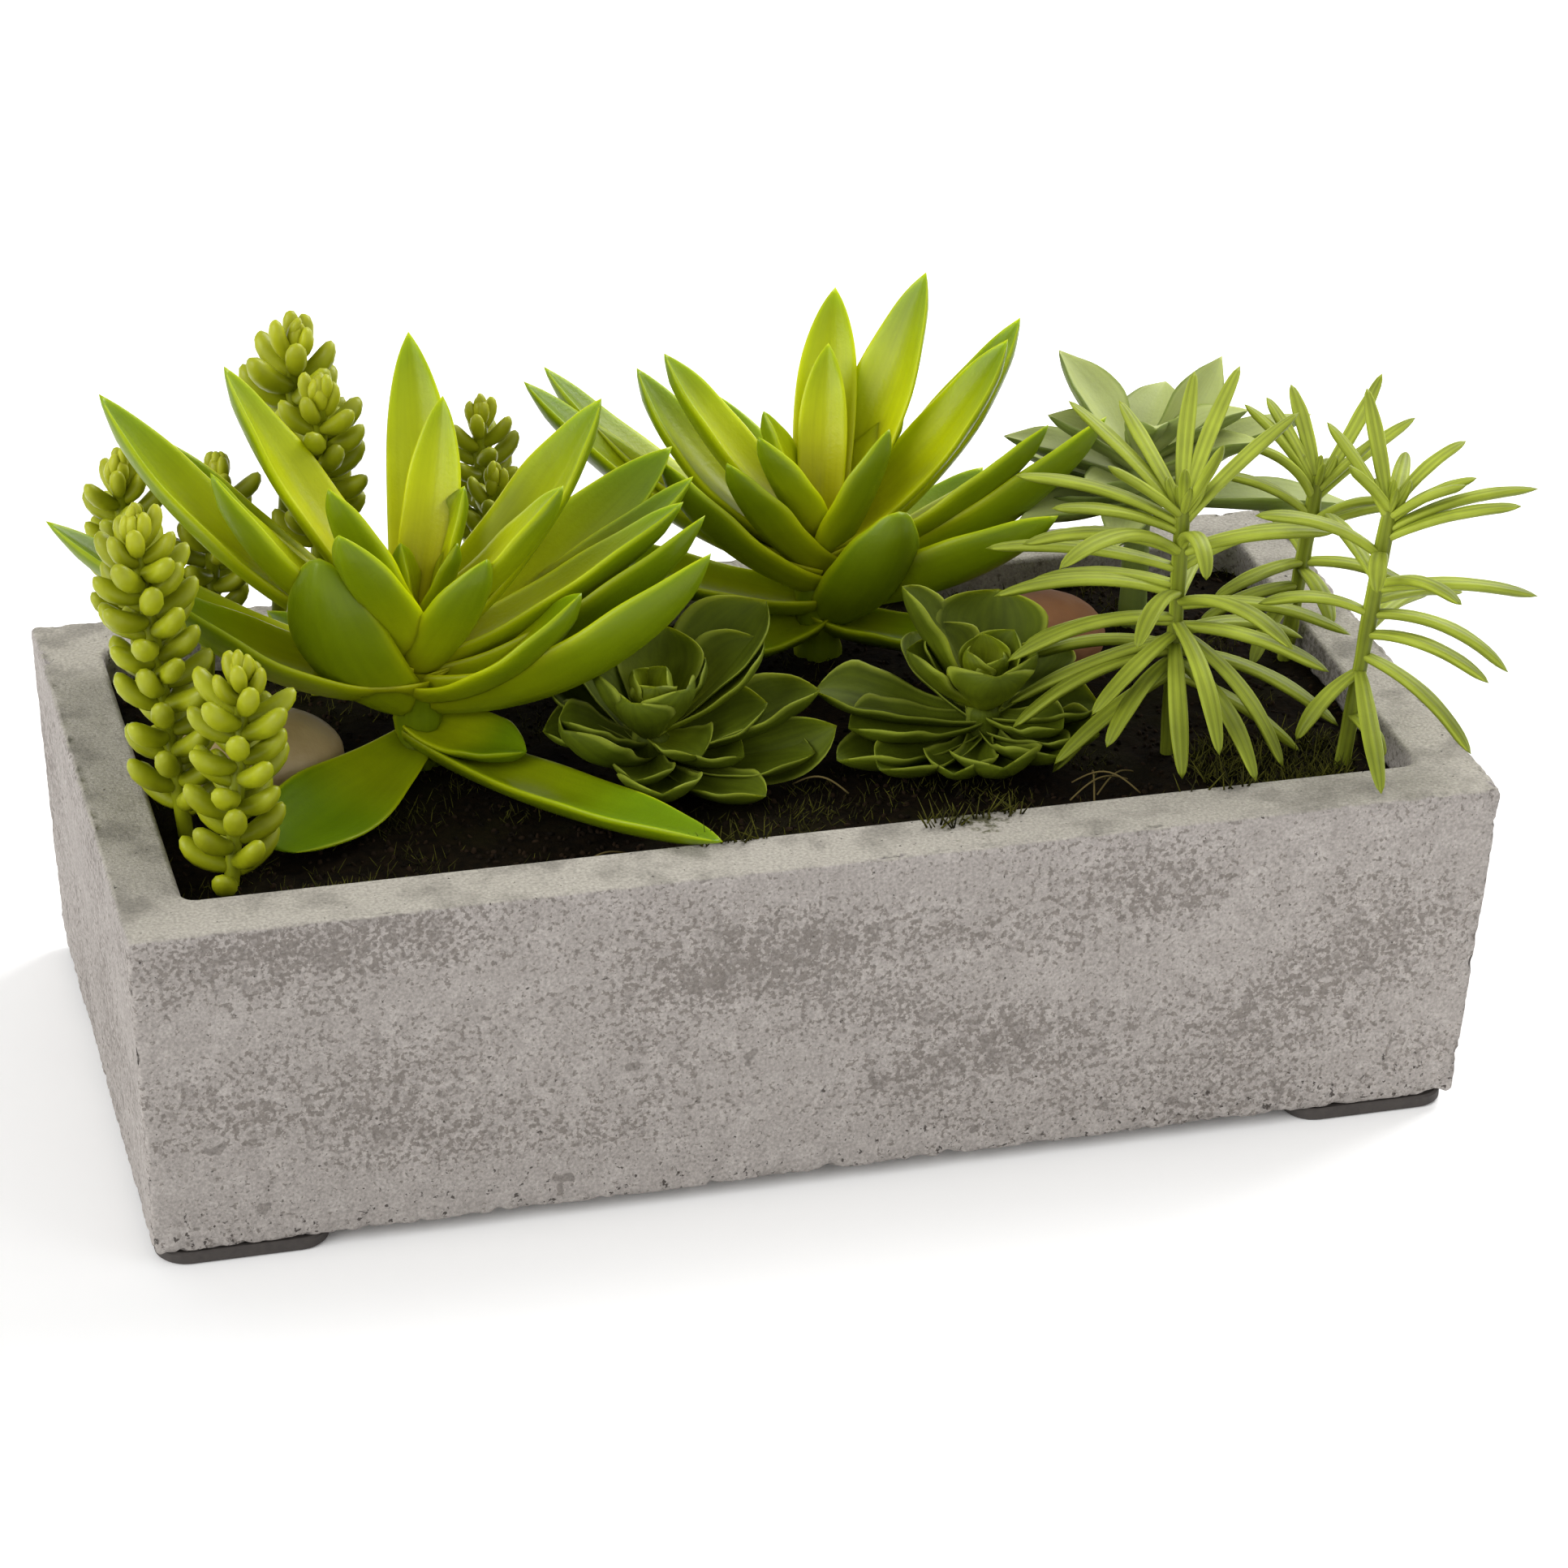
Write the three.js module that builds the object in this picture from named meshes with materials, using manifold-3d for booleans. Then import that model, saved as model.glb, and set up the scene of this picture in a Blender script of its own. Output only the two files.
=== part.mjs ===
// Succulent dish garden: a concrete trough on four rubber pads, filled with soil, with two
// stones and five kinds of succulent planted in it. Millimetres, +Z up, +Y to the back.
// Every leaf is a row of numbers read by one blade function, so a plant is a short list.

import * as THREE from "three";
import { mergeVertices } from "three/addons/utils/BufferGeometryUtils.js";
import Module from "manifold-3d";

const wasm = await Module();
wasm.setup();

// Driving dimensions of the planter
const TROUGH_LENGTH = 305;
const TROUGH_DEPTH = 152;
const TROUGH_HEIGHT = 80;
const TROUGH_TAPER = 3.5;
const TROUGH_EDGE = 1.2;
const END_WALL = 14.5;
const SIDE_WALL = 16;
const CAVITY_CORNER = 3;
const CAVITY_TAPER = 2;
const EDGE_STEPS = 1;
const CORNER_STEPS = 3;
const FLOOR_THICKNESS = 14;
const PAD_SIZE = 38;
const PAD_CORNER = 7;
const PAD_CORNER_STEPS = 1;
const PAD_HEIGHT = 3;
const PAD_X = 129;
const PAD_Y = 53.5;

// Soil, and the clearances that keep touching pieces apart
const SOIL_LEVEL = 75;
const SOIL_ROUGHNESS = 1.1;
const SOIL_CELLS_X = 7;
const SOIL_CELLS_Y = 3;
const CLEARANCE = 0.3;
const ROOT_CLEARANCE = 0.4;
const ROOT_DEPTH = 9;

// Joins leave slivers along the seams. Those flatter than this are merged away.
const SMOOTH_SEAMS = 0.3;

// The leaves reach past the trough further on the right and at the back. This shift puts
// the middle of the whole garden's box over the origin.
const GARDEN_SHIFT_X = -7.3;
const GARDEN_SHIFT_Y = -5;

// Derived heights
const RIM_LEVEL = PAD_HEIGHT + TROUGH_HEIGHT;
const CAVITY_FLOOR = PAD_HEIGHT + FLOOR_THICKNESS;

const COLOURS = {
  concrete: 0xa7a09c,
  rubber: 0x3a3431,
  soil: 0x2a2217,
  stoneCream: 0xd8cbb8,
  stoneTerracotta: 0xb98468,
  lance: 0x7d9c16,
  echeveria: 0x46632c,
  sage: 0x8aa674,
  needle: 0x93aa45,
  sedum: 0x93a636,
};

const material = (color, roughness) =>
  new THREE.MeshStandardMaterial({ color, roughness, metalness: 0 });

const radians = THREE.MathUtils.degToRad;

// A closed geometry as a solid, and a solid back as a geometry.
function solidOf(geometry) {
  const bare = geometry.clone();
  bare.deleteAttribute("normal");
  bare.deleteAttribute("uv");
  const merged = mergeVertices(bare, 1e-4);
  const mesh = new wasm.Mesh({
    numProp: 3,
    vertProperties: new Float32Array(merged.attributes.position.array),
    triVerts: new Uint32Array(merged.index.array),
  });
  return new wasm.Manifold(mesh);
}

function geometryOf(solid) {
  const mesh = solid.getMesh();
  const geometry = new THREE.BufferGeometry();
  const positions = new Float32Array(mesh.vertProperties);
  geometry.setAttribute("position", new THREE.BufferAttribute(positions, 3));
  geometry.setIndex(new THREE.BufferAttribute(new Uint32Array(mesh.triVerts), 1));
  geometry.computeVertexNormals();
  return geometry;
}

// Joins overlapping solids into one body. Hollows that the joining seals are filled.
function fuse(solids) {
  const joined = wasm.Manifold.union(solids).simplify(SMOOTH_SEAMS);
  const bodies = joined.decompose().sort((a, b) => b.volume() - a.volume());
  return bodies[0];
}

function node(name, solid, finish) {
  const mesh = new THREE.Mesh(geometryOf(solid), finish);
  mesh.name = name;
  return mesh;
}

// A closed skin over rings of points, from a flat first ring to a last ring or a tip point.
function skin(rings, tip) {
  const count = rings[0].length;
  const points = rings.flat();
  const faces = [];
  for (let r = 0; r + 1 < rings.length; r += 1) {
    for (let i = 0; i < count; i += 1) {
      const j = (i + 1) % count;
      const a = r * count + i;
      const b = r * count + j;
      faces.push([a, b, b + count], [a, b + count, a + count]);
    }
  }
  for (let i = 1; i + 1 < count; i += 1) {
    faces.push([0, i + 1, i]);
  }
  const last = (rings.length - 1) * count;
  if (tip) {
    points.push(tip);
    for (let i = 0; i < count; i += 1) {
      faces.push([last + i, last + ((i + 1) % count), points.length - 1]);
    }
  } else {
    for (let i = 1; i + 1 < count; i += 1) {
      faces.push([last, last + i, last + i + 1]);
    }
  }
  const geometry = new THREE.BufferGeometry().setFromPoints(points);
  geometry.setIndex(faces.flat());
  return geometry;
}

// Planter

function roundedRectangle(halfX, halfY, radius) {
  const outline = new THREE.Shape();
  outline.absarc(halfX - radius, halfY - radius, radius, 0, Math.PI / 2);
  outline.absarc(radius - halfX, halfY - radius, radius, Math.PI / 2, Math.PI);
  outline.absarc(radius - halfX, radius - halfY, radius, Math.PI, 1.5 * Math.PI);
  outline.absarc(halfX - radius, radius - halfY, radius, 1.5 * Math.PI, 2 * Math.PI);
  outline.closePath();
  return outline;
}

// A block with round upright corners. From its top to its foot it narrows by taper a side.
function taperedBlock(halfX, halfY, radius, bottom, top, taper, cornerSteps) {
  const depth = top - bottom;
  const outline = roundedRectangle(halfX, halfY, radius);
  const geometry = new THREE.ExtrudeGeometry(outline, {
    depth,
    bevelEnabled: false,
    curveSegments: cornerSteps,
  });
  const place = geometry.attributes.position;
  for (let i = 0; i < place.count; i += 1) {
    const inset = taper * (1 - place.getZ(i) / depth);
    place.setX(i, place.getX(i) * (1 - inset / halfX));
    place.setY(i, place.getY(i) * (1 - inset / halfY));
  }
  geometry.translate(0, 0, bottom);
  return geometry;
}

const OUTER_X = TROUGH_LENGTH / 2;
const OUTER_Y = TROUGH_DEPTH / 2;
const CAVITY_X = OUTER_X - END_WALL;
const CAVITY_Y = OUTER_Y - SIDE_WALL;

function trough() {
  const body = taperedBlock(
    OUTER_X, OUTER_Y, TROUGH_EDGE, PAD_HEIGHT, RIM_LEVEL, TROUGH_TAPER, EDGE_STEPS,
  );
  const cavity = taperedBlock(
    CAVITY_X, CAVITY_Y, CAVITY_CORNER, CAVITY_FLOOR, RIM_LEVEL + 1, CAVITY_TAPER, CORNER_STEPS,
  );
  return solidOf(body).subtract(solidOf(cavity));
}

// A pad is a square with round corners. Its front edge is flush with the trough's foot.
function pad(x, y) {
  const half = PAD_SIZE / 2;
  const square = taperedBlock(half, half, PAD_CORNER, 0, PAD_HEIGHT, 0, PAD_CORNER_STEPS);
  square.translate(x, y, 0);
  return solidOf(square);
}

// Stones: a sphere stretched to the stone's size, turned, and dented by slow waves.
const STONE_SEGMENTS = 11;
const STONE_RINGS = 7;

function stone({ centre, size, turn, waves }) {
  const ball = new THREE.SphereGeometry(1, STONE_SEGMENTS, STONE_RINGS);
  const place = ball.attributes.position;
  const point = new THREE.Vector3();
  for (let i = 0; i < place.count; i += 1) {
    point.fromBufferAttribute(place, i);
    const dent = Math.sin(3 * point.x + 1) * Math.cos(2 * point.y) * Math.sin(2 * point.z + 2);
    point.multiplyScalar(1 + waves * dent);
    place.setXYZ(i, point.x, point.y, point.z);
  }
  ball.scale(size[0] / 2, size[1] / 2, size[2] / 2);
  ball.rotateZ(radians(turn));
  ball.translate(...centre);
  return ball;
}

// A stone's seat in the soil is the stone itself, grown by the clearance all round.
function stoneSeat(kind) {
  const size = kind.size.map((side) => side + 2 * CLEARANCE);
  return solidOf(stone({ ...kind, size }));
}

const STONES = {
  stone_cream: { centre: [-112, 5, 78.5], size: [46, 34, 25], turn: 15, waves: 0.06 },
  stone_terracotta: { centre: [76, 26, 80], size: [38, 27, 24], turn: -15, waves: 0.08 },
};

// Leaves. A row is [heading, rise, length, width, curl, level, roll, form]: the compass
// direction from the stem (0 is +X, 90 is +Y), the climb of the whole leaf, its length and
// width, how far its tip bends up (or down where negative), the height where it leaves the
// stem, a turn about its own length, and a form other than the plant's own. The last two may
// be left out. Angles are degrees.

// Outlines give the share of the full width at stations along the leaf. thick is the leaf's
// thickness, cup how far the edges stand above the midrib for each mm of half width.
const LEAF_FORMS = {
  lance: {
    outline: [[0, 0.5], [0.3, 0.95], [0.58, 1], [0.84, 0.6]],
    thick: 3.4,
    cup: 0.45,
  },
  bowl: {
    outline: [[0, 0.4], [0.28, 0.84], [0.55, 1], [0.88, 0.58]],
    thick: 3.4,
    cup: 0.35,
  },
  spoon: {
    outline: [[0, 0.3], [0.35, 0.66], [0.68, 1], [0.9, 0.72]],
    thick: 3.2,
    cup: 0.22,
  },
  petal: {
    outline: [[0, 0.24], [0.45, 0.84], [0.85, 0.86]],
    thick: 2.2,
    cup: 0.36,
  },
  hooked: {
    outline: [[0, 0.3], [0.25, 0.54], [0.55, 1], [0.8, 0.6], [0.93, 0.24]],
    thick: 3.2,
    cup: 0.12,
  },
  needle: {
    outline: [[0, 0.5], [0.5, 1], [0.85, 0.66]],
    thick: 3,
    cup: 0.05,
  },
};

// The point and direction of a leaf's midrib at a share t of its length.
const BEND_STEPS = 12;

function midrib(row, foot, t) {
  const [heading, rise, length, , curl] = row;
  const out = new THREE.Vector3(Math.cos(radians(heading)), Math.sin(radians(heading)), 0);
  const place = foot.clone();
  for (let i = 0; i < BEND_STEPS; i += 1) {
    const middle = ((i + 0.5) / BEND_STEPS) * t;
    const climb = radians(rise + curl * (middle - 0.5));
    const run = (length * t) / BEND_STEPS;
    place.addScaledVector(out, run * Math.cos(climb));
    place.z += run * Math.sin(climb);
  }
  const climb = radians(rise + curl * (t - 0.5));
  const along = out.clone().multiplyScalar(Math.cos(climb));
  along.z = Math.sin(climb);
  const side = new THREE.Vector3(-out.y, out.x, 0);
  side.applyAxisAngle(along, radians(row[6] ?? 0));
  const face = along.clone().cross(side);
  return { place, along, side, face };
}

// A narrow leaf is no thicker than this share of its width. A leaf's foot has this share of
// its full thickness, and this share of the thickness lies over the midrib, in its channel.
const MOST_PLUMP = 0.45;
const FOOT_PLUMP = 0.55;
const OVER_MIDRIB = 0.3;

function blade(row, foot, form) {
  const halfWidth = row[3] / 2;
  const thick = Math.min(form.thick, MOST_PLUMP * row[3]);
  const rings = form.outline.map(([t, share]) => {
    const { place, side, face } = midrib(row, foot, t);
    const half = halfWidth * share;
    const body = thick * (FOOT_PLUMP + (1 - FOOT_PLUMP) * share);
    const lift = form.cup * half;
    const at = (across, up) =>
      place.clone().addScaledVector(side, across).addScaledVector(face, up);
    const channel = at(0, OVER_MIDRIB * body);
    const keel = at(0, (OVER_MIDRIB - 1) * body);
    return [at(half, lift), channel, at(-half, lift), keel];
  });
  return skin(rings, midrib(row, foot, 1).place);
}

// Stems. A stem runs straight from its foot in the soil to its top. A thin one has four sides.
const STEM_SIDES = 6;
const THIN_STEM_SIDES = 4;
const THIN_STEM = 2;

function stemPoint(plant, level) {
  const [foot, top] = [plant.foot, plant.top];
  const share = (level - SOIL_LEVEL) / (top[2] - SOIL_LEVEL);
  return new THREE.Vector3(
    foot[0] + (top[0] - foot[0]) * share,
    foot[1] + (top[1] - foot[1]) * share,
    level,
  );
}

// A stem's round tube. Grown by extra, it is the plain hole that the stem stands in.
function stemTube(plant, extra) {
  const section = new THREE.Shape().absarc(0, 0, plant.stem + extra, 0, 2 * Math.PI);
  const from = stemPoint(plant, SOIL_LEVEL - ROOT_DEPTH - extra);
  const path = new THREE.LineCurve3(from, stemPoint(plant, plant.top[2]));
  const sides = plant.stem < THIN_STEM ? THIN_STEM_SIDES : STEM_SIDES;
  return new THREE.ExtrudeGeometry(section, {
    extrudePath: path,
    steps: 1,
    curveSegments: sides / 2,
    bevelEnabled: false,
  });
}

// The heart of a rosette, where the feet of its leaves have grown together round the stem.
// A row is [level, radius], from the lowest to the highest.
const HEART_SIDES = 6;

function heart(plant) {
  const rings = plant.heart.map(([level, radius]) => {
    const ring = [];
    for (let i = 0; i < HEART_SIDES; i += 1) {
      const turn = (2 * Math.PI * i) / HEART_SIDES;
      const out = new THREE.Vector3(radius * Math.cos(turn), radius * Math.sin(turn), 0);
      ring.push(out.add(stemPoint(plant, level)));
    }
    return ring;
  });
  return skin(rings, stemPoint(plant, plant.top[2]));
}

function leafyPlant(plant) {
  const solids = [solidOf(stemTube(plant, 0))];
  if (plant.heart) {
    solids.push(solidOf(heart(plant)));
  }
  for (const row of plant.leaves) {
    const form = LEAF_FORMS[row[7] ?? plant.form];
    solids.push(solidOf(blade(row, stemPoint(plant, row[5]), form)));
  }
  return fuse(solids);
}

// Stonecrop stems: plump square-sided beads set round the stem by the golden angle. The top
// HEAD of a stem, in mm, carries small beads that stand up, steepest at the very top.
const GOLDEN_ANGLE = 137.5;
const BEAD_LENGTH = 13;
const BEAD_WIDTH = 7.6;
const BEAD_OUTLINE = [[0, 0.2], [0.6, 1]];
const BEAD_CURL = 22;
const BEAD_PITCH = 2.55;
const BEAD_ROOT = 1.2;
const BEAD_RISE = 22;
const TOP_BEAD_RISE = 70;
const TOP_BEAD_SCALE = 0.45;
const HEAD = 12;
const FULL_GROWN = 13;

function bead(place, heading, rise, length, width) {
  const row = [heading, rise, length, width, BEAD_CURL, 0];
  const rings = BEAD_OUTLINE.map(([t, share]) => {
    const { place: middle, side, face } = midrib(row, place, t);
    const reach = (share * width) / 2;
    const at = (turn) =>
      middle
        .clone()
        .addScaledVector(side, reach * Math.cos(radians(turn)))
        .addScaledVector(face, reach * Math.sin(radians(turn)));
    return [45, 135, 225, 315].map(at);
  });
  return skin(rings, midrib(row, place, 1).place);
}

function stonecrop(plant) {
  const solids = [solidOf(stemTube(plant, 0))];
  const first = plant.beadsFrom;
  const last = plant.top[2] - 1;
  const count = Math.round((last - first) / BEAD_PITCH);
  for (let i = 0; i <= count; i += 1) {
    const share = i / count;
    const fromTop = (count - i) * BEAD_PITCH;
    const grown = Math.min(1, TOP_BEAD_SCALE + ((1 - TOP_BEAD_SCALE) * fromTop) / FULL_GROWN);
    const standing = Math.max(0, 1 - fromTop / HEAD);
    const rise = BEAD_RISE + (TOP_BEAD_RISE - BEAD_RISE) * standing;
    const place = stemPoint(plant, first + share * (last - first));
    place.z -= BEAD_ROOT;
    const length = BEAD_LENGTH * plant.scale * grown;
    const width = BEAD_WIDTH * plant.scale * (TOP_BEAD_SCALE + (1 - TOP_BEAD_SCALE) * grown);
    solids.push(solidOf(bead(place, plant.turn + i * GOLDEN_ANGLE, rise, length, width)));
  }
  return fuse(solids);
}

const LANCE_ROSETTE_LEFT = {
  form: "lance",
  stem: 4.5,
  foot: [-75, 5],
  top: [-75, 5, 116],
  heart: [[84, 3], [90, 8.5], [104, 9.5], [112, 5.5]],
  leaves: [
    [165, 43, 95, 22, 45, 100],
    [150, 39, 81, 20, 38, 97],
    [182, 47, 67, 18, 42, 103],
    [145, 52, 74, 18, 32, 106],
    [160, 25, 92, 18, 35, 91],
    [184, 30, 71, 24, 50, 93],
    [212, 59, 58, 23, 70, 88, 30, "bowl"],
    [205, 63, 50, 17, 15, 104],
    [226, 56, 53, 18, 20, 99],
    [80, 49, 71, 15, 10, 106],
    [60, 66, 50, 13, 5, 110],
    [20, 69, 36, 13, 10, 106],
    [345, 68, 25, 10, 0, 106],
    [160, 82, 23, 9, 0, 106],
    [303, 58, 42, 20, 25, 97],
    [15, 49, 72, 22, 40, 101],
    [345, 49, 50, 17, 25, 106],
    [350, 34, 72, 19, 32, 98, -8],
    [22, 29, 80, 19, 22, 96, 12],
    [350, 33, 78, 18, 45, 93, -28],
    [336, 33, 82, 24, 58, 90, -28],
    [8, 31, 78, 18, 35, 95],
    [326, 39, 52, 21, 50, 92],
    [313, 4, 30, 16, 30, 84, 12],
    [226, -1, 57, 23, 0, 80, -15, "spoon"],
    [306, 4, 89, 17, 16, 80, -6],
    [92, 8, 58, 16, 20, 92],
    [36, 8, 50, 16, 25, 87],
    [132, 14, 44, 16, 30, 90],
  ],
};

const LANCE_ROSETTE_RIGHT = {
  form: "lance",
  stem: 4.5,
  foot: [27, 38],
  top: [27, 38, 112],
  heart: [[80, 3], [86, 8.5], [100, 9.5], [108, 5.5]],
  leaves: [
    [35, 58, 69, 18, 25, 102],
    [71, 52, 58, 14.5, 5, 107],
    [72, 66, 42, 11.5, 0, 108],
    [150, 49, 59, 17, 30, 102],
    [142, 40, 63, 18, 42, 99],
    [200, 51, 43, 18, 25, 97],
    [150, 65, 34, 12, 10, 104],
    [205, 59, 38, 14, 10, 103],
    [20, 46, 33, 12, 10, 107],
    [320, 67, 42, 17, 15, 97],
    [15, 44, 75, 19, 45, 99],
    [2, 48, 67, 17, 38, 101, 10],
    [350, 35, 65, 17, 42, 96, -20],
    [352, 32, 80, 18, 48, 92, -38],
    [335, 26, 62, 20, 32, 89, -45],
    [303, 57, 45, 21, 60, 83, -30, "bowl"],
    [190, 44, 58, 18, 35, 92],
    [160, 33, 84, 17, 35, 95],
    [148, 31, 81, 16, 40, 97],
    [176, 20, 66, 18, 25, 87],
    [205, 4, 42, 16, 15, 83],
    [318, 4, 40, 15, 15, 83],
    [105, 26, 60, 17, 30, 95],
    [62, 18, 58, 17, 30, 92],
    [32, 14, 60, 16, 30, 90],
  ],
};

const ECHEVERIA_LEFT = {
  form: "petal",
  stem: 4,
  foot: [-26, -14],
  top: [-26, -14, 92],
  leaves: [
    [24, 37, 41, 25, 30, 85],
    [10, 33, 33, 23, 30, 86],
    [350, 19, 28, 18, 40, 84, 20],
    [355, 19, 41, 22, 35, 81],
    [343, 13, 44, 14, 55, 80, 65],
    [338, 5, 38, 19, 45, 81, 15],
    [325, 4, 23, 17, 50, 83],
    [300, 4, 16, 16, 20, 85],
    [306, 3, 34, 14, 45, 80],
    [262, 10, 28, 19, 65, 80],
    [245, 6, 20, 15, 50, 82],
    [207, 31, 31, 20, 60, 80],
    [195, 27, 26, 16, 30, 83],
    [175, 12, 25, 17, 20, 83],
    [165, 52, 21, 17, 30, 85],
    [66, 52, 25, 20, 25, 86],
    [20, 46, 21, 17, 30, 86],
    [300, 54, 19, 17, 35, 86],
    [235, 50, 19, 16, 35, 85],
    [140, 25, 30, 20, 20, 82],
    [105, 26, 32, 22, 20, 82],
    [20, 74, 13, 8, 0, 88],
    [150, 72, 13, 8, 0, 88],
    [270, 70, 12, 8, 0, 88],
  ],
};

const ECHEVERIA_RIGHT = {
  form: "petal",
  stem: 4,
  foot: [50, -18],
  top: [50, -18, 92],
  leaves: [
    [138, 51, 34, 19, 25, 85, 25],
    [66, 42, 31, 26, 20, 84],
    [120, 40, 23, 18, 30, 86],
    [165, 38, 23, 18, 35, 86],
    [262, 46, 21, 20, 40, 86],
    [30, 60, 19, 15, 30, 86],
    [325, 52, 20, 16, 30, 86],
    [172, 14, 40, 20, 25, 82],
    [188, 8, 34, 20, 30, 82],
    [199, 5, 41, 17, 40, 80],
    [213, 6, 37, 17, 45, 80],
    [262, 11, 31, 21, 70, 80],
    [295, 7, 27, 18, 60, 81],
    [322, 10, 29, 18, 40, 80],
    [346, 8, 27, 20, 30, 83],
    [310, 8, 22, 15, 45, 84],
    [240, 7, 30, 17, 55, 80],
    [108, 22, 30, 21, 20, 82],
    [36, 18, 30, 21, 20, 83],
    [20, 74, 12, 8, 0, 88],
    [150, 72, 12, 8, 0, 88],
    [270, 70, 11, 8, 0, 88],
  ],
};

const GREY_SUCCULENT = {
  form: "hooked",
  stem: 3.2,
  foot: [104, 36],
  top: [104, 36, 120],
  leaves: [
    [130, 43, 33, 16.5, 12, 117],
    [30, 34, 33, 12, 15, 118, 50],
    [262, 46, 22, 11, -50, 117],
    [160, 30, 26, 14, -15, 115],
    [155, 15, 34, 14, -15, 112],
    [176, 6, 28, 13, -15, 107],
    [195, 4, 34, 13, -10, 107],
    [215, 20, 24, 12, -15, 110],
    [300, 50, 20, 10, 0, 118],
    [350, 28, 28, 13.5, -15, 117],
    [10, 27, 26, 13, -15, 116],
    [335, 22, 30, 13, -15, 114],
    [0, 18, 44, 13, -5, 112],
    [350, -4, 56, 15, -15, 107],
    [60, 25, 30, 15, -15, 114],
    [100, 22, 32, 15, -15, 112],
    [135, 8, 34, 14, -15, 108],
    [75, 2, 34, 14, -15, 106],
    [30, 4, 36, 14, -15, 108],
    [240, 2, 26, 12, -15, 106],
  ],
};

const NEEDLE_STEM_FRONT = {
  form: "needle",
  stem: 2.2,
  foot: [91, -28],
  top: [91, -28, 137],
  leaves: [
    [135, 35, 36, 5.5, -10, 134],
    [115, 41, 29, 5.5, -5, 135],
    [68, 39, 36, 5.5, 0, 134],
    [50, 36, 40, 5.5, -5, 134],
    [300, 62, 22, 5, 0, 135],
    [250, 70, 13, 4, 0, 135],
    [10, 38, 36, 6, -15, 132],
    [190, 38, 25, 5.5, -10, 134],
    [160, 14, 39, 6, -20, 132],
    [175, 14, 31, 5.5, -20, 130],
    [170, 4, 37, 6, -40, 125],
    [158, 2, 44, 6, -25, 121],
    [205, 10, 40, 6.5, -50, 125],
    [272, -2, 22, 6, -110, 126],
    [232, -4, 28, 6, -40, 115],
    [345, 9, 35, 6.5, -25, 125],
    [160, -5, 42, 6, -30, 115],
    [148, -7, 34, 6, -20, 117],
    [180, -10, 41, 6, -35, 109],
    [165, -11, 35, 6, -25, 108],
    [185, -20, 42, 6, -30, 101],
    [173, -22, 41, 6, -20, 104],
    [215, -17, 32, 6, -25, 105],
    [225, -15, 34, 6, -25, 99],
    [205, -20, 38, 6, -20, 96],
    [257, -36, 36, 6, -40, 103],
    [270, -28, 38, 6, -35, 108],
    [283, -22, 40, 6, -35, 99],
    [303, -36, 41, 6, -35, 106],
    [300, 0, 35, 6, -40, 113],
    [325, -8, 37, 6.5, -30, 107],
    [20, 2, 36, 6, -30, 121],
    [60, -4, 34, 6, -30, 113],
  ],
};

const NEEDLE_STEM_RIGHT = {
  form: "needle",
  stem: 2.2,
  foot: [127, -44],
  top: [134, -43, 140],
  leaves: [
    [100, 62, 28, 5.5, 0, 137],
    [150, 54, 26, 5.5, -15, 136],
    [200, 46, 19, 5.5, -10, 138],
    [20, 30, 25, 5, -25, 137],
    [350, 28, 22, 5, -20, 135],
    [318, 34, 21, 5, -20, 136],
    [345, 18, 35, 5.5, -25, 133],
    [330, 22, 32, 5.5, -20, 131],
    [246, -10, 16, 6, -60, 127],
    [345, -2, 37, 6, -25, 119],
    [300, 8, 25, 5.5, -40, 120],
    [335, -20, 35, 6, -40, 113],
    [318, -10, 31, 6, -40, 108],
    [308, -28, 34, 6, -30, 103],
    [15, -8, 26, 5.5, -25, 116],
    [258, -18, 39, 6, -25, 99],
    [200, -36, 22, 6, -30, 99],
    [165, 4, 26, 5.5, -35, 113],
    [172, 20, 32, 6, -35, 127],
    [280, -14, 16, 6, -50, 88],
    [60, 20, 30, 5.5, -25, 130],
    [92, 6, 30, 5.5, -25, 121],
    [40, -4, 30, 6, -25, 109],
  ],
};

const NEEDLE_STEM_BACK = {
  form: "needle",
  stem: 2.2,
  foot: [134, 12],
  top: [138, 10, 122],
  leaves: [
    [130, 52, 24, 5.5, -15, 119],
    [152, 48, 27, 5.5, -20, 118],
    [100, 53, 24, 5.5, -5, 120],
    [30, 47, 32, 5.5, 10, 118],
    [10, 32, 31, 5.5, -20, 116],
    [340, 48, 20, 5, -5, 118],
    [182, 42, 24, 5.5, -40, 116],
    [172, 26, 26, 5.5, -30, 112],
    [312, 30, 22, 5.5, -25, 110],
    [340, 20, 24, 5.5, -25, 108],
    [200, -6, 27, 6, -25, 100],
    [268, -8, 24, 6, -25, 98],
    [228, -16, 28, 6, -25, 92],
    [185, -14, 26, 6, -25, 94],
    [330, -6, 26, 6, -25, 100],
    [60, 12, 28, 5.5, -25, 109],
    [92, -2, 28, 6, -25, 102],
  ],
};

const LEAFY_PLANTS = {
  lance_rosette_left: [LANCE_ROSETTE_LEFT, COLOURS.lance],
  lance_rosette_right: [LANCE_ROSETTE_RIGHT, COLOURS.lance],
  echeveria_left: [ECHEVERIA_LEFT, COLOURS.echeveria],
  echeveria_right: [ECHEVERIA_RIGHT, COLOURS.echeveria],
  grey_succulent: [GREY_SUCCULENT, COLOURS.sage],
  needle_stem_front: [NEEDLE_STEM_FRONT, COLOURS.needle],
  needle_stem_right: [NEEDLE_STEM_RIGHT, COLOURS.needle],
  needle_stem_back: [NEEDLE_STEM_BACK, COLOURS.needle],
};

const STONECROP_STEM_RADIUS = 1.8;

const stonecropStem = (foot, top, beadsFrom, turn, scale) => ({
  foot,
  top,
  beadsFrom,
  turn,
  scale,
  stem: STONECROP_STEM_RADIUS,
});

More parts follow.
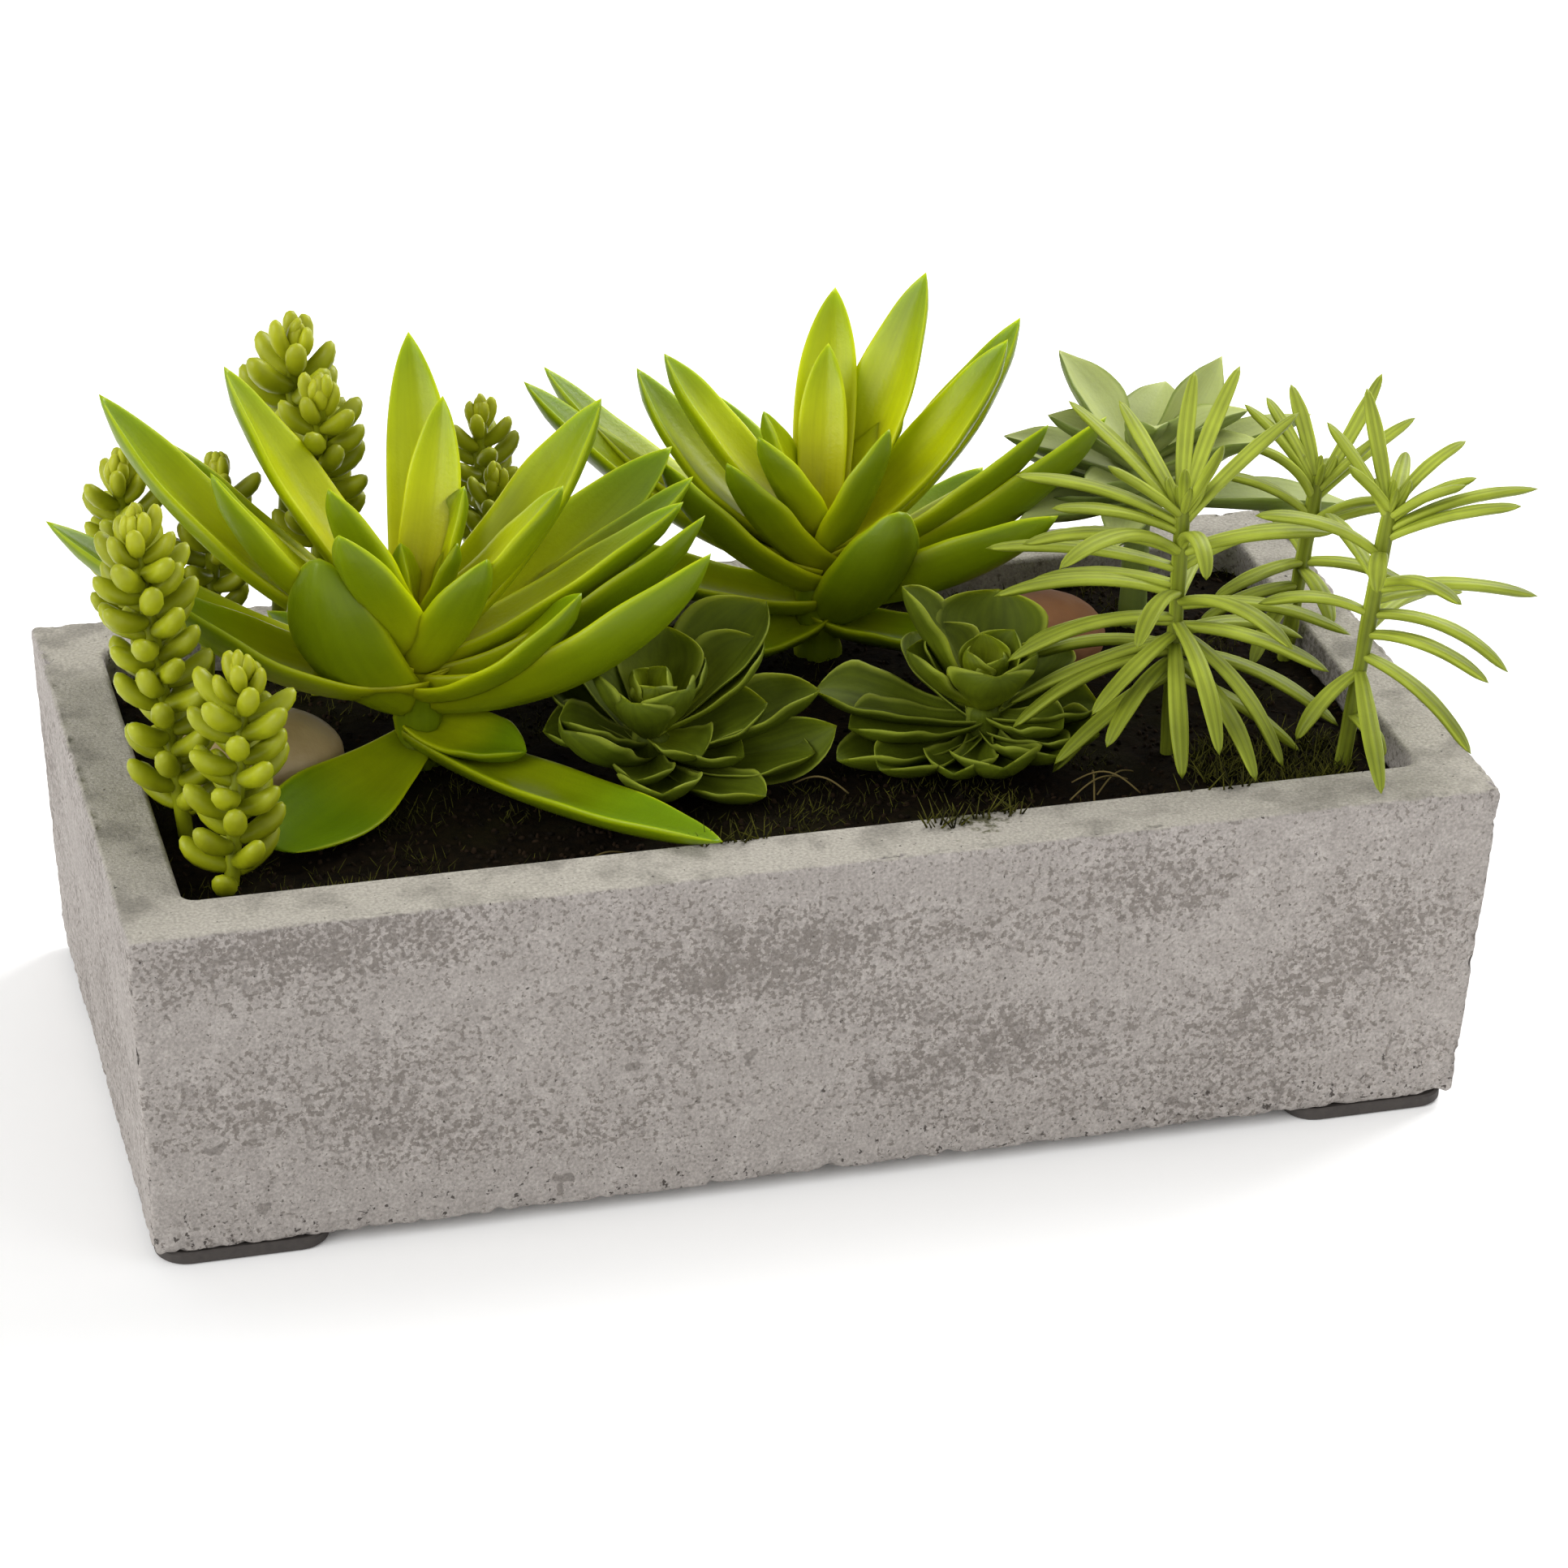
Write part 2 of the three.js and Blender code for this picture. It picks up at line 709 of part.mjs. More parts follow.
const STONECROP_STEMS = [
  stonecropStem([-131, -19], [-139, -13, 151], 86, 0, 1),
  stonecropStem([-125, -42], [-119, -33, 125], 81, 60, 1),
  stonecropStem([-91, 43], [-89, 40, 154], 117, 20, 1),
  stonecropStem([-99, 54], [-91, 57, 160], 140, 200, 1.2),
  stonecropStem([-50, 53], [-49, 59, 138], 104, 100, 0.85),
  stonecropStem([-46, 36], [-51, 37, 131], 104, 260, 0.8),
  stonecropStem([-116, 48], [-111, 50, 134], 92, 300, 0.9),
  stonecropStem([-130, 48], [-134, 50, 136], 96, 140, 0.9),
];

// Soil: a rough-topped filling that clears the walls, with holes for roots and stones. It is
// cut from a block that reaches past the walls by SOIL_SPARE.
const SOIL_SPARE = 2;

function soil() {
  const halfX = CAVITY_X - CLEARANCE;
  const halfY = CAVITY_Y - CLEARANCE;
  const height = SOIL_LEVEL - CAVITY_FLOOR;
  const mass = new THREE.BoxGeometry(
    2 * (halfX + SOIL_SPARE), 2 * (halfY + SOIL_SPARE), height, SOIL_CELLS_X, SOIL_CELLS_Y, 1,
  );
  mass.translate(0, 0, CAVITY_FLOOR + height / 2);
  const place = mass.attributes.position;
  for (let i = 0; i < place.count; i += 1) {
    if (place.getZ(i) > SOIL_LEVEL - 1) {
      const x = place.getX(i);
      const y = place.getY(i);
      const wave = Math.sin(x / 9 + 2 * Math.sin(y / 17)) * Math.cos(y / 7 + x / 31);
      place.setZ(i, SOIL_LEVEL + SOIL_ROUGHNESS * wave);
    }
  }
  const inside = taperedBlock(
    halfX, halfY, CAVITY_CORNER, CAVITY_FLOOR, RIM_LEVEL + 1, CAVITY_TAPER, CORNER_STEPS,
  );
  let filling = solidOf(mass).intersect(solidOf(inside));
  const plants = Object.values(LEAFY_PLANTS).map(([plant]) => plant);
  for (const plant of [...plants, ...STONECROP_STEMS]) {
    filling = filling.subtract(solidOf(stemTube(plant, ROOT_CLEARANCE)));
  }
  for (const kind of Object.values(STONES)) {
    filling = filling.subtract(stoneSeat(kind));
  }
  return filling.simplify(SMOOTH_SEAMS);
}

// The garden
const garden = new THREE.Group();
garden.name = "dish_garden";

const planter = new THREE.Group();
planter.add(node("planter", trough(), material(COLOURS.concrete, 0.9)));
const PAD_PLACES = { left: -PAD_X, right: PAD_X };
for (const [side, x] of Object.entries(PAD_PLACES)) {
  planter.add(node(`foot_pad_front_${side}`, pad(x, -PAD_Y), material(COLOURS.rubber, 0.8)));
  planter.add(node(`foot_pad_back_${side}`, pad(x, PAD_Y), material(COLOURS.rubber, 0.8)));
}
planter.add(node("soil", soil(), material(COLOURS.soil, 1)));
garden.add(planter);

const stones = new THREE.Group();
stones.add(
  node("stone_cream", solidOf(stone(STONES.stone_cream)), material(COLOURS.stoneCream, 0.6)),
);
stones.add(
  node(
    "stone_terracotta",
    solidOf(stone(STONES.stone_terracotta)),
    material(COLOURS.stoneTerracotta, 0.7),
  ),
);
garden.add(stones);

const plants = new THREE.Group();
for (const [name, [plant, colour]] of Object.entries(LEAFY_PLANTS)) {
  plants.add(node(name, leafyPlant(plant), material(colour, 0.45)));
}
STONECROP_STEMS.forEach((plant, i) => {
  plants.add(node(`stonecrop_stem_${i + 1}`, stonecrop(plant), material(COLOURS.sedum, 0.5)));
});
garden.add(plants);

garden.position.set(GARDEN_SHIFT_X, GARDEN_SHIFT_Y, 0);

export default garden;
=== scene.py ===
"""Succulent dish garden: a concrete trough of soil, stones and five kinds of succulent.

Every length in a table or a named size is in millimetres from the middle of the trough's
foot, and is turned into metres once, when a mesh is made.
"""

import math
from functools import partial

import bpy
import numpy as np
from bpy.props import FloatProperty, FloatVectorProperty, PointerProperty
from mathutils import Matrix, Vector, noise


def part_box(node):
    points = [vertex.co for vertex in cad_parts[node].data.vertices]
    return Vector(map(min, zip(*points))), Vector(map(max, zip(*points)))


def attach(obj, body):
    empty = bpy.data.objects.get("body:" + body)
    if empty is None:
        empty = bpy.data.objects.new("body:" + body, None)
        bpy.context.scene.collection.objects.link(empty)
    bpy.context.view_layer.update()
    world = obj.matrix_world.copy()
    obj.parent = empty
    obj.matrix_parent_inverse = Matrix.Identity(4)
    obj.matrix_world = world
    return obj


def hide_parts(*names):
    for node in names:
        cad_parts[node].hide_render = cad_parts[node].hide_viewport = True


bl_info = {
    "name": "Succulent Dish Garden",
    "version": (1, 0, 0),
    "blender": (4, 5, 0),
    "location": "3D View > Sidebar > Dish Garden",
    "description": "Makes a planted concrete trough, leaf by leaf, and a stage to show it on",
    "category": "Add Mesh",
}

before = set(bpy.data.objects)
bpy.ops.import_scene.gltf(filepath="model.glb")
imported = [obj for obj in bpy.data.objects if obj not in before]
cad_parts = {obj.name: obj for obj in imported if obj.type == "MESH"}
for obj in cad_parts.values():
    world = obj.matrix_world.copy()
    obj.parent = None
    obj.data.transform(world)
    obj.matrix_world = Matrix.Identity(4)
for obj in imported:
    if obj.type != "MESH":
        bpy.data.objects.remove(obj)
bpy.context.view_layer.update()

MM = 0.001
RANDOM_SEED = 7

# The planter's box gives the garden's own origin, which every table below counts from.
PLANTER_LOW, PLANTER_HIGH = (np.array(corner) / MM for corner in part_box("planter"))
ORIGIN = np.array([*(PLANTER_LOW + PLANTER_HIGH)[:2] / 2, 0.0])
HALF_LENGTH, HALF_DEPTH = (PLANTER_HIGH - PLANTER_LOW)[:2] / 2
TROUGH_FOOT, RIM_LEVEL = PLANTER_LOW[2], PLANTER_HIGH[2]

# Trough walls
TROUGH_TAPER = 3.5
END_WALL = 14.5
SIDE_WALL = 16
CAVITY_CORNER = 3
CAVITY_TAPER = 2
CAVITY_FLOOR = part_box("soil")[0].z / MM
EDGE_ROUND = 1.3

# Soil and stems
SOIL_LEVEL = 75
ROOT_DEPTH = 6

# The camera, fitted to the trough's edges in the photograph
CAMERA_PLACE = (-261.8, -965.6, 595.9)
CAMERA_TURN = 15.66
CAMERA_DIP = 28.04
CAMERA_ROLL = -1.345
FOCAL_PIXELS = 6121.75
PHOTO_PIXELS = 1932
SENSOR_WIDTH = 36
SIGHT_METRES = 20


def linear(hex_colour):
    """An sRGB hex colour as linear red, green, blue and alpha."""
    shares = [int(hex_colour[i : i + 2], 16) / 255 for i in (1, 3, 5)]
    return (*(c / 12.92 if c <= 0.04045 else ((c + 0.055) / 1.055) ** 2.4 for c in shares), 1.0)


def colour(name, description, hex_colour):
    return FloatVectorProperty(
        name=name, description=description, subtype="COLOR", size=4, min=0, max=1,
        default=linear(hex_colour),
    )


def length(name, description, millimetres):
    return FloatProperty(
        name=name, description=description, default=millimetres * MM, min=0, unit="LENGTH"
    )


def amount(name, description, default):
    return FloatProperty(name=name, description=description, default=default, min=0)


class TroughSettings(bpy.types.PropertyGroup):
    grain: length("Grain", "Depth of the cast surface's roughness", 0.3)
    chips: length("Chips", "Depth of the chips along the edges", 1.0)
    chip_reach: length("Chip Reach", "How far from an edge the chips run", 2.2)
    cement: colour("Cement", "Light grey of the dry cement", "#96908B")
    damp: colour("Damp Cement", "Grey-brown of the flecks and patches", "#69625C")
    rim: colour("Rim", "Smoother, weathered top edge", "#9F9A90")


class SoilSettings(bpy.types.PropertyGroup):
    crumb: length("Crumb", "Radius of a soil crumb", 0.9)
    crumb_density: amount("Crumb Density", "Crumbs on a square metre", 120000)
    moss_density: amount("Moss Density", "Moss shoots on a square metre", 600000)
    earth: colour("Earth", "Dark potting soil", "#0B0804")
    moss: colour("Moss", "Dry moss", "#55541A")


class LeafSettings(bpy.types.PropertyGroup):
    lance_heart: colour("Lance Heart", "Base and young leaves of the large rosettes", "#B4AE10")
    lance_blade: colour("Lance Blade", "Blade of the large rosettes' leaves", "#ADB505")
    # On the backs and the lowest leaves this green is partly painted shade.
    lance_back_and_shade: colour("Lance Back", "Backs of the large rosettes' outer leaves", "#687A04")
    lance_tip: colour("Lance Tip", "Tips of the large rosettes' leaves", "#557304")
    echeveria_heart: colour("Echeveria Heart", "Inner petals of the low rosettes", "#737D08")
    echeveria_blade: colour("Echeveria Petal", "Outer petals of the low rosettes", "#47520A")
    echeveria_edge: colour("Echeveria Edge", "Pale rim of the low rosettes' petals", "#8F9A36")
    sage: colour("Sage Leaf", "Top of the grey succulent's leaves", "#9CA562")
    sage_edge: colour("Sage Edge", "Edges and backs of the grey succulent's leaves", "#5E6E22")
    needle: colour("Needle Leaf", "Needle leaves", "#8F9A32")
    needle_stripe: colour("Needle Stripe", "Grooves along the needle leaves", "#667018")


class StonecropSettings(bpy.types.PropertyGroup):
    bead_length: length("Bead Length", "Length of a full-grown bead", 12.5)
    bead_width: length("Bead Width", "Width of a full-grown bead", 5.4)
    pitch: length("Pitch", "Mean rise from one bead to the next", 1.1)
    bead: colour("Bead", "Full-grown beads", "#848C08")
    young: colour("Young Bead", "Small beads at the top of a stem", "#9FA316")


class StageSettings(bpy.types.PropertyGroup):
    floor: colour("Floor", "Plain pale floor", "#FFFFFF")
    key: amount("Key Light", "Strength of the main light", 2.3)
    fill: amount("Fill Light", "Watts of the second light", 4)
    back: amount("Back Light", "Watts of the light behind", 22)
    sky: amount("Sky", "Strength of the light all round", 0.68)


# Nodes. In a Mix node these inputs are the factor, the two vectors and the two colours.
MIX_FACTOR, FIRST_VECTOR, SECOND_VECTOR, FIRST_COLOUR, SECOND_COLOUR = 0, 4, 5, 6, 7
RANDOM, MARK = "FunctionNodeRandomValue", "GeometryNodeStoreNamedAttribute"


def add(tree, kind, inputs=(), **settings):
    """Adds a node. Its inputs are values, hex colours, sockets or nodes, in order or by name.

    A kind without its family is a shader node's. A node stands for its first output in use.
    """
    node = tree.nodes.new(kind if "Node" in kind else "ShaderNode" + kind)
    for name, value in settings.items():
        setattr(node, name, value)
    for key, value in inputs.items() if isinstance(inputs, dict) else enumerate(inputs):
        if isinstance(value, bpy.types.Node):
            value = next(socket for socket in value.outputs if socket.enabled)
        if isinstance(value, bpy.types.NodeSocket):
            tree.links.new(value, node.inputs[key])
        else:
            is_colour = isinstance(value, str) and value.startswith("#")
            node.inputs[key].default_value = linear(value) if is_colour else value
    return node


def new_material(name):
    """A material without nodes, and the function that adds nodes to it."""
    material = bpy.data.materials.new(name)
    material.use_nodes = True
    material.node_tree.nodes.clear()
    return material, partial(add, material.node_tree)


def layered(put, base, *layers):
    """A base colour with other colours laid over it, each as far as its mask is high."""
    for mask, over in layers:
        base = put("Mix", {MIX_FACTOR: mask, FIRST_COLOUR: base, SECOND_COLOUR: over}, data_type="RGBA")
    return base


def finished(material, put, surface, relief=None, strength=0.0, depth=0.0):
    """Ends a material with its surface's inputs and with a relief that many mm deep."""
    if relief is not None:
        bump = {"Strength": strength, "Distance": depth * MM, "Height": relief}
        surface["Normal"] = put("Bump", bump)
    put("OutputMaterial", {"Surface": put("BsdfPrincipled", surface)})
    return material


# Meshes


def placed(points):
    """Points in millimetres from the trough's middle, as points in metres in the part's frame."""
    return (np.asarray(points, float) + ORIGIN) * MM


def new_piece(name, mesh, material, slot, *nodes):
    """Puts a mesh in the scene as a piece that rides on the root and stands for CAD nodes."""
    piece = bpy.data.objects.new(name, mesh)
    bpy.context.scene.collection.objects.link(piece)
    mesh.materials.clear()
    mesh.materials.append(material)
    mesh.shade_smooth()
    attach(piece, "root")
    if nodes:
        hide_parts(*nodes)
    return piece


def mesh_of(name, points, faces):
    mesh = bpy.data.meshes.new(name)
    mesh.from_pydata(placed(points).tolist(), [], faces)
    mesh.validate()
    mesh.update()
    return mesh


def ring_faces(rings, around, closed=False):
    """Quads between rings of points, and a flat face at each end where they are closed."""
    faces = []
    for r in range(rings - 1):
        for i in range(around):
            j = (i + 1) % around
            a, b = r * around, (r + 1) * around
            faces.append((a + i, a + j, b + j, b + i))
    if closed:
        faces.append(tuple(reversed(range(around))))
        faces.append(tuple(range((rings - 1) * around, rings * around)))
    return faces


def tube(line, side, face, reach, sides):
    """A closed tube round a line of points, as its points and faces."""
    turn = np.linspace(0, 2 * math.pi, sides, endpoint=False)[:, None]
    outward = side[:, None, :] * np.cos(turn) + face[:, None, :] * np.sin(turn)
    points = line[:, None, :] + reach[:, None, None] * outward
    return points.reshape(-1, 3), ring_faces(len(line), sides, closed=True)


def smooth_line(stations, at):
    """Heights at the places 'at' on a smooth line through [place, height] stations."""
    x, y = np.array(stations, float).T
    step = np.diff(x)
    slope = np.diff(y) / step
    tangent = np.concatenate([[slope[0]], (slope[1:] + slope[:-1]) / 2, [slope[-1]]])
    tangent[1:-1][slope[1:] * slope[:-1] <= 0] = 0
    i = np.clip(np.searchsorted(x, at) - 1, 0, len(step) - 1)
    t = (at - x[i]) / step[i]
    first = (1 + 2 * t) * (1 - t) ** 2 * y[i] + t * (1 - t) ** 2 * step[i] * tangent[i]
    return first + t**2 * (3 - 2 * t) * y[i + 1] + t**2 * (t - 1) * step[i] * tangent[i + 1]


def rough(point, size, octaves=3):
    """Fractal noise from about -1 to 1, with features of that size in millimetres."""
    return noise.fractal(Vector(point) / size, 0.7, 2.1, octaves)


# Concrete trough

MOSS_STAIN = (34, -62, 83)
WALL_RINGS = 64
RIM_RINGS = 9
INNER_RINGS = 10
LONG_STEPS = 250
SHORT_STEPS = 125
TURN_STEPS = 4
EDGE_TURNS = (75, 45, 15)
# How far the inner rings crowd towards the rim
INNER_CROWDING = 1.6
# The crumbly lengths of the foot and of the right-hand end
FRAIL_FOOT, FRAIL_END = 12, 14


def ring_of(half_x, half_y, corner, level, turn_steps=TURN_STEPS, sides=(LONG_STEPS, SHORT_STEPS)):
    """A level ring round a rectangle with round corners, with as many points at every size."""
    bends = []
    for quarter, (side_x, side_y) in enumerate([(1, 1), (-1, 1), (-1, -1), (1, -1)]):
        centre = np.array([side_x * (half_x - corner), side_y * (half_y - corner)])
        turn = np.radians(90 * quarter + np.linspace(0, 90, turn_steps + 1))
        bends.append(centre + corner * np.column_stack([np.cos(turn), np.sin(turn)]))
    ring = []
    for quarter, bend in enumerate(bends):
        share = np.linspace(0, 1, sides[quarter % 2] + 1)[1:-1, None]
        following = bends[(quarter + 1) % 4][0]
        ring += [bend, bend[-1] + (following - bend[-1]) * share]
    ring = np.concatenate(ring)
    return np.column_stack([ring, np.full(len(ring), level)])


def trough_rings():
    """The trough's skin as rings, from the foot up the outside, over the rim and down inside."""
    rings = []

    def outside(level, inset):
        taper = TROUGH_TAPER * (RIM_LEVEL - level) / (RIM_LEVEL - TROUGH_FOOT)
        reach = HALF_LENGTH - taper - inset, HALF_DEPTH - taper - inset
        rings.append(ring_of(*reach, EDGE_ROUND, level))

    low, high = TROUGH_FOOT + EDGE_ROUND, RIM_LEVEL - EDGE_ROUND
    for turn in np.radians(EDGE_TURNS):
        outside(low - EDGE_ROUND * math.sin(turn), EDGE_ROUND * (1 - math.cos(turn)))
    for level in np.linspace(low, high, WALL_RINGS):
        outside(level, 0)
    for turn in np.radians(EDGE_TURNS[::-1]):
        outside(high + EDGE_ROUND * math.sin(turn), EDGE_ROUND * (1 - math.cos(turn)))
    inner_x, inner_y = HALF_LENGTH - END_WALL, HALF_DEPTH - SIDE_WALL
    for share in np.linspace(0, 1, RIM_RINGS):
        half_x = HALF_LENGTH - EDGE_ROUND + (inner_x + 2 * EDGE_ROUND - HALF_LENGTH) * share
        half_y = HALF_DEPTH - EDGE_ROUND + (inner_y + 2 * EDGE_ROUND - HALF_DEPTH) * share
        rings.append(ring_of(half_x, half_y, EDGE_ROUND + CAVITY_CORNER * share, RIM_LEVEL))
    for turn in np.radians(EDGE_TURNS):
        inset = EDGE_ROUND * (1 - math.cos(turn))
        drop = EDGE_ROUND * (1 - math.sin(turn))
        rings.append(ring_of(inner_x + inset, inner_y + inset, CAVITY_CORNER + inset, RIM_LEVEL - drop))
    depth = RIM_LEVEL - CAVITY_FLOOR
    for share in np.linspace(0, 1, INNER_RINGS) ** INNER_CROWDING:
        down = EDGE_ROUND + (depth - EDGE_ROUND) * share
        taper = CAVITY_TAPER * down / depth
        rings.append(ring_of(inner_x - taper, inner_y - taper, CAVITY_CORNER, RIM_LEVEL - down))
    return rings


def wear(point, settings):
    """How deep the outside has worn at a point: its grain, its pits and chips along the edges."""
    x, y, z = point
    taper = TROUGH_TAPER * (RIM_LEVEL - z) / (RIM_LEVEL - TROUGH_FOOT)
    ends = [HALF_LENGTH - taper - abs(x), HALF_DEPTH - taper - abs(y)]
    edge = max(sorted([*ends, z - TROUGH_FOOT, RIM_LEVEL - z])[1], 0)
    grain, chips, reach = settings.grain / MM, settings.chips / MM, settings.chip_reach / MM
    pits = max(0, rough(point, 4.5) - 0.3) * 2.2
    depth = grain * (0.4 + 0.35 * rough(point, 2.6, 2) + pits)
    corner = math.exp(-((edge / reach) ** 2))
    # The crumbly foot and the right-hand end are chipped more than the rest.
    frail = 1 + 0.8 * (z < TROUGH_FOOT + FRAIL_FOOT) + 0.7 * (x > HALF_LENGTH - FRAIL_END)
    bites = 0.8 * max(0, rough(point, 8, 4) - 0.05) + 0.5 * max(0, rough(point, 2.6, 2))
    return max(0, depth) + bites * chips * corner * frail


def trough_body(settings):
    """The trough, its outside and rim worn inwards and its foot and floor closed."""
    rings = trough_rings()
    around, outer_rings = len(rings[0]), len(EDGE_TURNS) * 2 + WALL_RINGS
    points = np.concatenate(rings)
    worn = points[: (outer_rings + RIM_RINGS - 1) * around]
    for i, point in enumerate(worn):
        x, y, z = point
        inward = np.zeros(3)
        if i < outer_rings * around:
            at_end = HALF_LENGTH - abs(x) < HALF_DEPTH - abs(y)
            inward[0 if at_end else 1] = -math.copysign(1, x if at_end else y)
        if RIM_LEVEL - z < EDGE_ROUND:
            inward[2] = -1
        elif z - TROUGH_FOOT < EDGE_ROUND:
            inward[2] = 1
        worn[i] = point + inward / np.linalg.norm(inward) * wear(point, settings)
    faces = ring_faces(len(rings), around)
    points = np.vstack([points, [0, 0, TROUGH_FOOT], [0, 0, CAVITY_FLOOR]])
    foot, floor, last = len(points) - 2, len(points) - 1, (len(rings) - 1) * around
    for i in range(around):
        j = (i + 1) % around
        faces += [(j, i, foot), (last + i, last + j, floor)]
    mesh = mesh_of("trough", points, faces)
    new_piece("concrete_trough", mesh, cast_concrete(settings), "concrete", "planter")


def cast_concrete(settings):
    """Cast fibre concrete: matt and sandy, mottled in bands where damp has dried, and pitted, with
    painted shade in the pits.
    """
    material, put = new_material("cast concrete")
    place = put("TexCoord").outputs["Object"]
    height = put("SeparateXYZ", [place]).outputs["Z"]
    facing = put("SeparateXYZ", [put("NewGeometry").outputs["Normal"]]).outputs["Z"]

    def blotches(size, detail, low, high, most, raised_by=None):
        """A mask of blotches of that size in millimetres, more of them where it is raised."""
        field = put(
            "TexNoise", {"Vector": place, "Scale": 1 / (size * MM), "Detail": detail, "Roughness": 0.6}
        )
        if raised_by:
            field = put("Math", [raised_by, 0.5, field], operation="MULTIPLY_ADD")
        return put("MapRange", [field, low, high, 0.0, most], interpolation_type="SMOOTHSTEP")

    # Bands about 30 mm high and 70 mm long, where the flecks stand close together.
    stretched = put("VectorMath", [place, (1.0, 1.0, 2.2)], operation="MULTIPLY")
    drift = put("TexNoise", {"Vector": stretched, "Scale": 15.0, "Detail": 2.0})
    # The lowest 35 mm have fewer.
    sparse = put("MapRange", [height, 0.01, 0.035, -0.12, 0.0])
    bands = put("Math", [drift, sparse], operation="ADD")
    body = layered(
        put, settings.cement,
        (blotches(6, 4.0, 0.45, 0.62, 0.5), "#A59F9A"),
        (blotches(1.3, 3.0, 0.79, 0.84, 0.72, bands), settings.damp),
        (blotches(3.2, 5.0, 0.83, 0.88, 0.5, bands), "#77716C"),
        (blotches(8, 2.0, 0.69, 0.71, 0.7), "#6E6863"),
    )
    # The trowelled rim is smoother and warmer, with stains of 15 mm, and olive round its moss.
    reach = put("VectorMath", [place, placed(MOSS_STAIN)], operation="DISTANCE")
    near = put("MapRange", [reach, 0.003, 0.014, 0.35, -0.3])
    rim = layered(
        put, settings.rim,
        (blotches(14, 7.0, 0.45, 0.68, 0.75), "#76726A"),
        (blotches(2, 4.0, 0.55, 0.75, 0.85, near), "#3C3C12"),
    )
    body = layered(put, body, (put("MapRange", [facing, 0.55, 0.85]), rim))
    # Sand grains of 0.7 mm, as light and dark specks.
    sand = put("TexNoise", {"Vector": place, "Scale": 1400.0, "Detail": 2.0})
    speck = put("MapRange", [sand, 0.3, 0.7, 0.78, 1.2])
    sanded = put("VectorMath", {0: body, "Scale": speck}, operation="SCALE")
    # Pits of 1 mm lie close together in the lowest 30 mm, where the casting is crumbly. Their
    # near-black colour is painted shade in the pits.
    crumbly = put("MapRange", [height, 0.004, 0.03, 0.15, 0.0])
    pit_with_painted_shade = blotches(1.5, 3.0, 0.69, 0.74, 0.9, crumbly)
    pitted = layered(put, sanded, (pit_with_painted_shade, "#3A3430"))
    grit = put("TexNoise", {"Vector": place, "Scale": 900.0, "Detail": 4.0, "Roughness": 0.7})
    relief = put("Math", [pit_with_painted_shade, -1.2, grit], operation="MULTIPLY_ADD")
    surface = {"Base Color": pitted, "Roughness": 0.9, "Specular IOR Level": 0.25}
    return finished(material, put, surface, relief, strength=0.6, depth=0.7)


# Foot pads

PAD_CORNER = 7
PAD_TURN_STEPS = 12
PAD_EDGE = 0.5


def foot_pad(node, material):
    """A square rubber pad with round corners and softened edges, as large as its node."""
    low, high = (np.array(corner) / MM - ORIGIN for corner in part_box(node))
    middle = np.array([*(low + high)[:2] / 2, 0])
    half_x, half_y = (high - low)[:2] / 2
    rings = []
    for inset, level in ((PAD_EDGE, 0), (0, PAD_EDGE), (0, high[2] - PAD_EDGE), (PAD_EDGE, high[2])):
        size = half_x - inset, half_y - inset, PAD_CORNER - inset
        rings.append(middle + ring_of(*size, level, PAD_TURN_STEPS, (1, 1)))
    faces = ring_faces(len(rings), len(rings[0]), closed=True)
    mesh = mesh_of(node, np.concatenate(rings), faces)
    new_piece(node.replace("foot_pad", "rubber_pad"), mesh, material, "pad", node)
    mesh.set_sharp_from_angle(angle=math.radians(30))


def moulded_rubber():
    """Moulded black rubber: matt, nearly black, with a faint dusty grain."""
    material, put = new_material("moulded rubber")
    place = put("TexCoord").outputs["Object"]
    dust = put("TexNoise", {"Vector": place, "Scale": 600.0, "Detail": 4.0})
    surface = {"Base Color": layered(put, "#2B2725", (dust, "#46403C")), "Roughness": 0.75}
    return finished(material, put, surface, dust, strength=0.2, depth=0.3)


# Soil

SOIL_STEPS_X = 150
SOIL_STEPS_Y = 66
# The soil's gap to the walls, and how much further its top is drawn in
SOIL_GAP = 0.3
SOIL_INSET = 0.2


def soil_height(x, y):
    """The level of the soil: lumps of 14 mm, with finer ones of 4 mm on them."""
    return SOIL_LEVEL + 0.9 * rough((x, y, 0), 14) + 0.5 * rough((x, y, 9), 4)


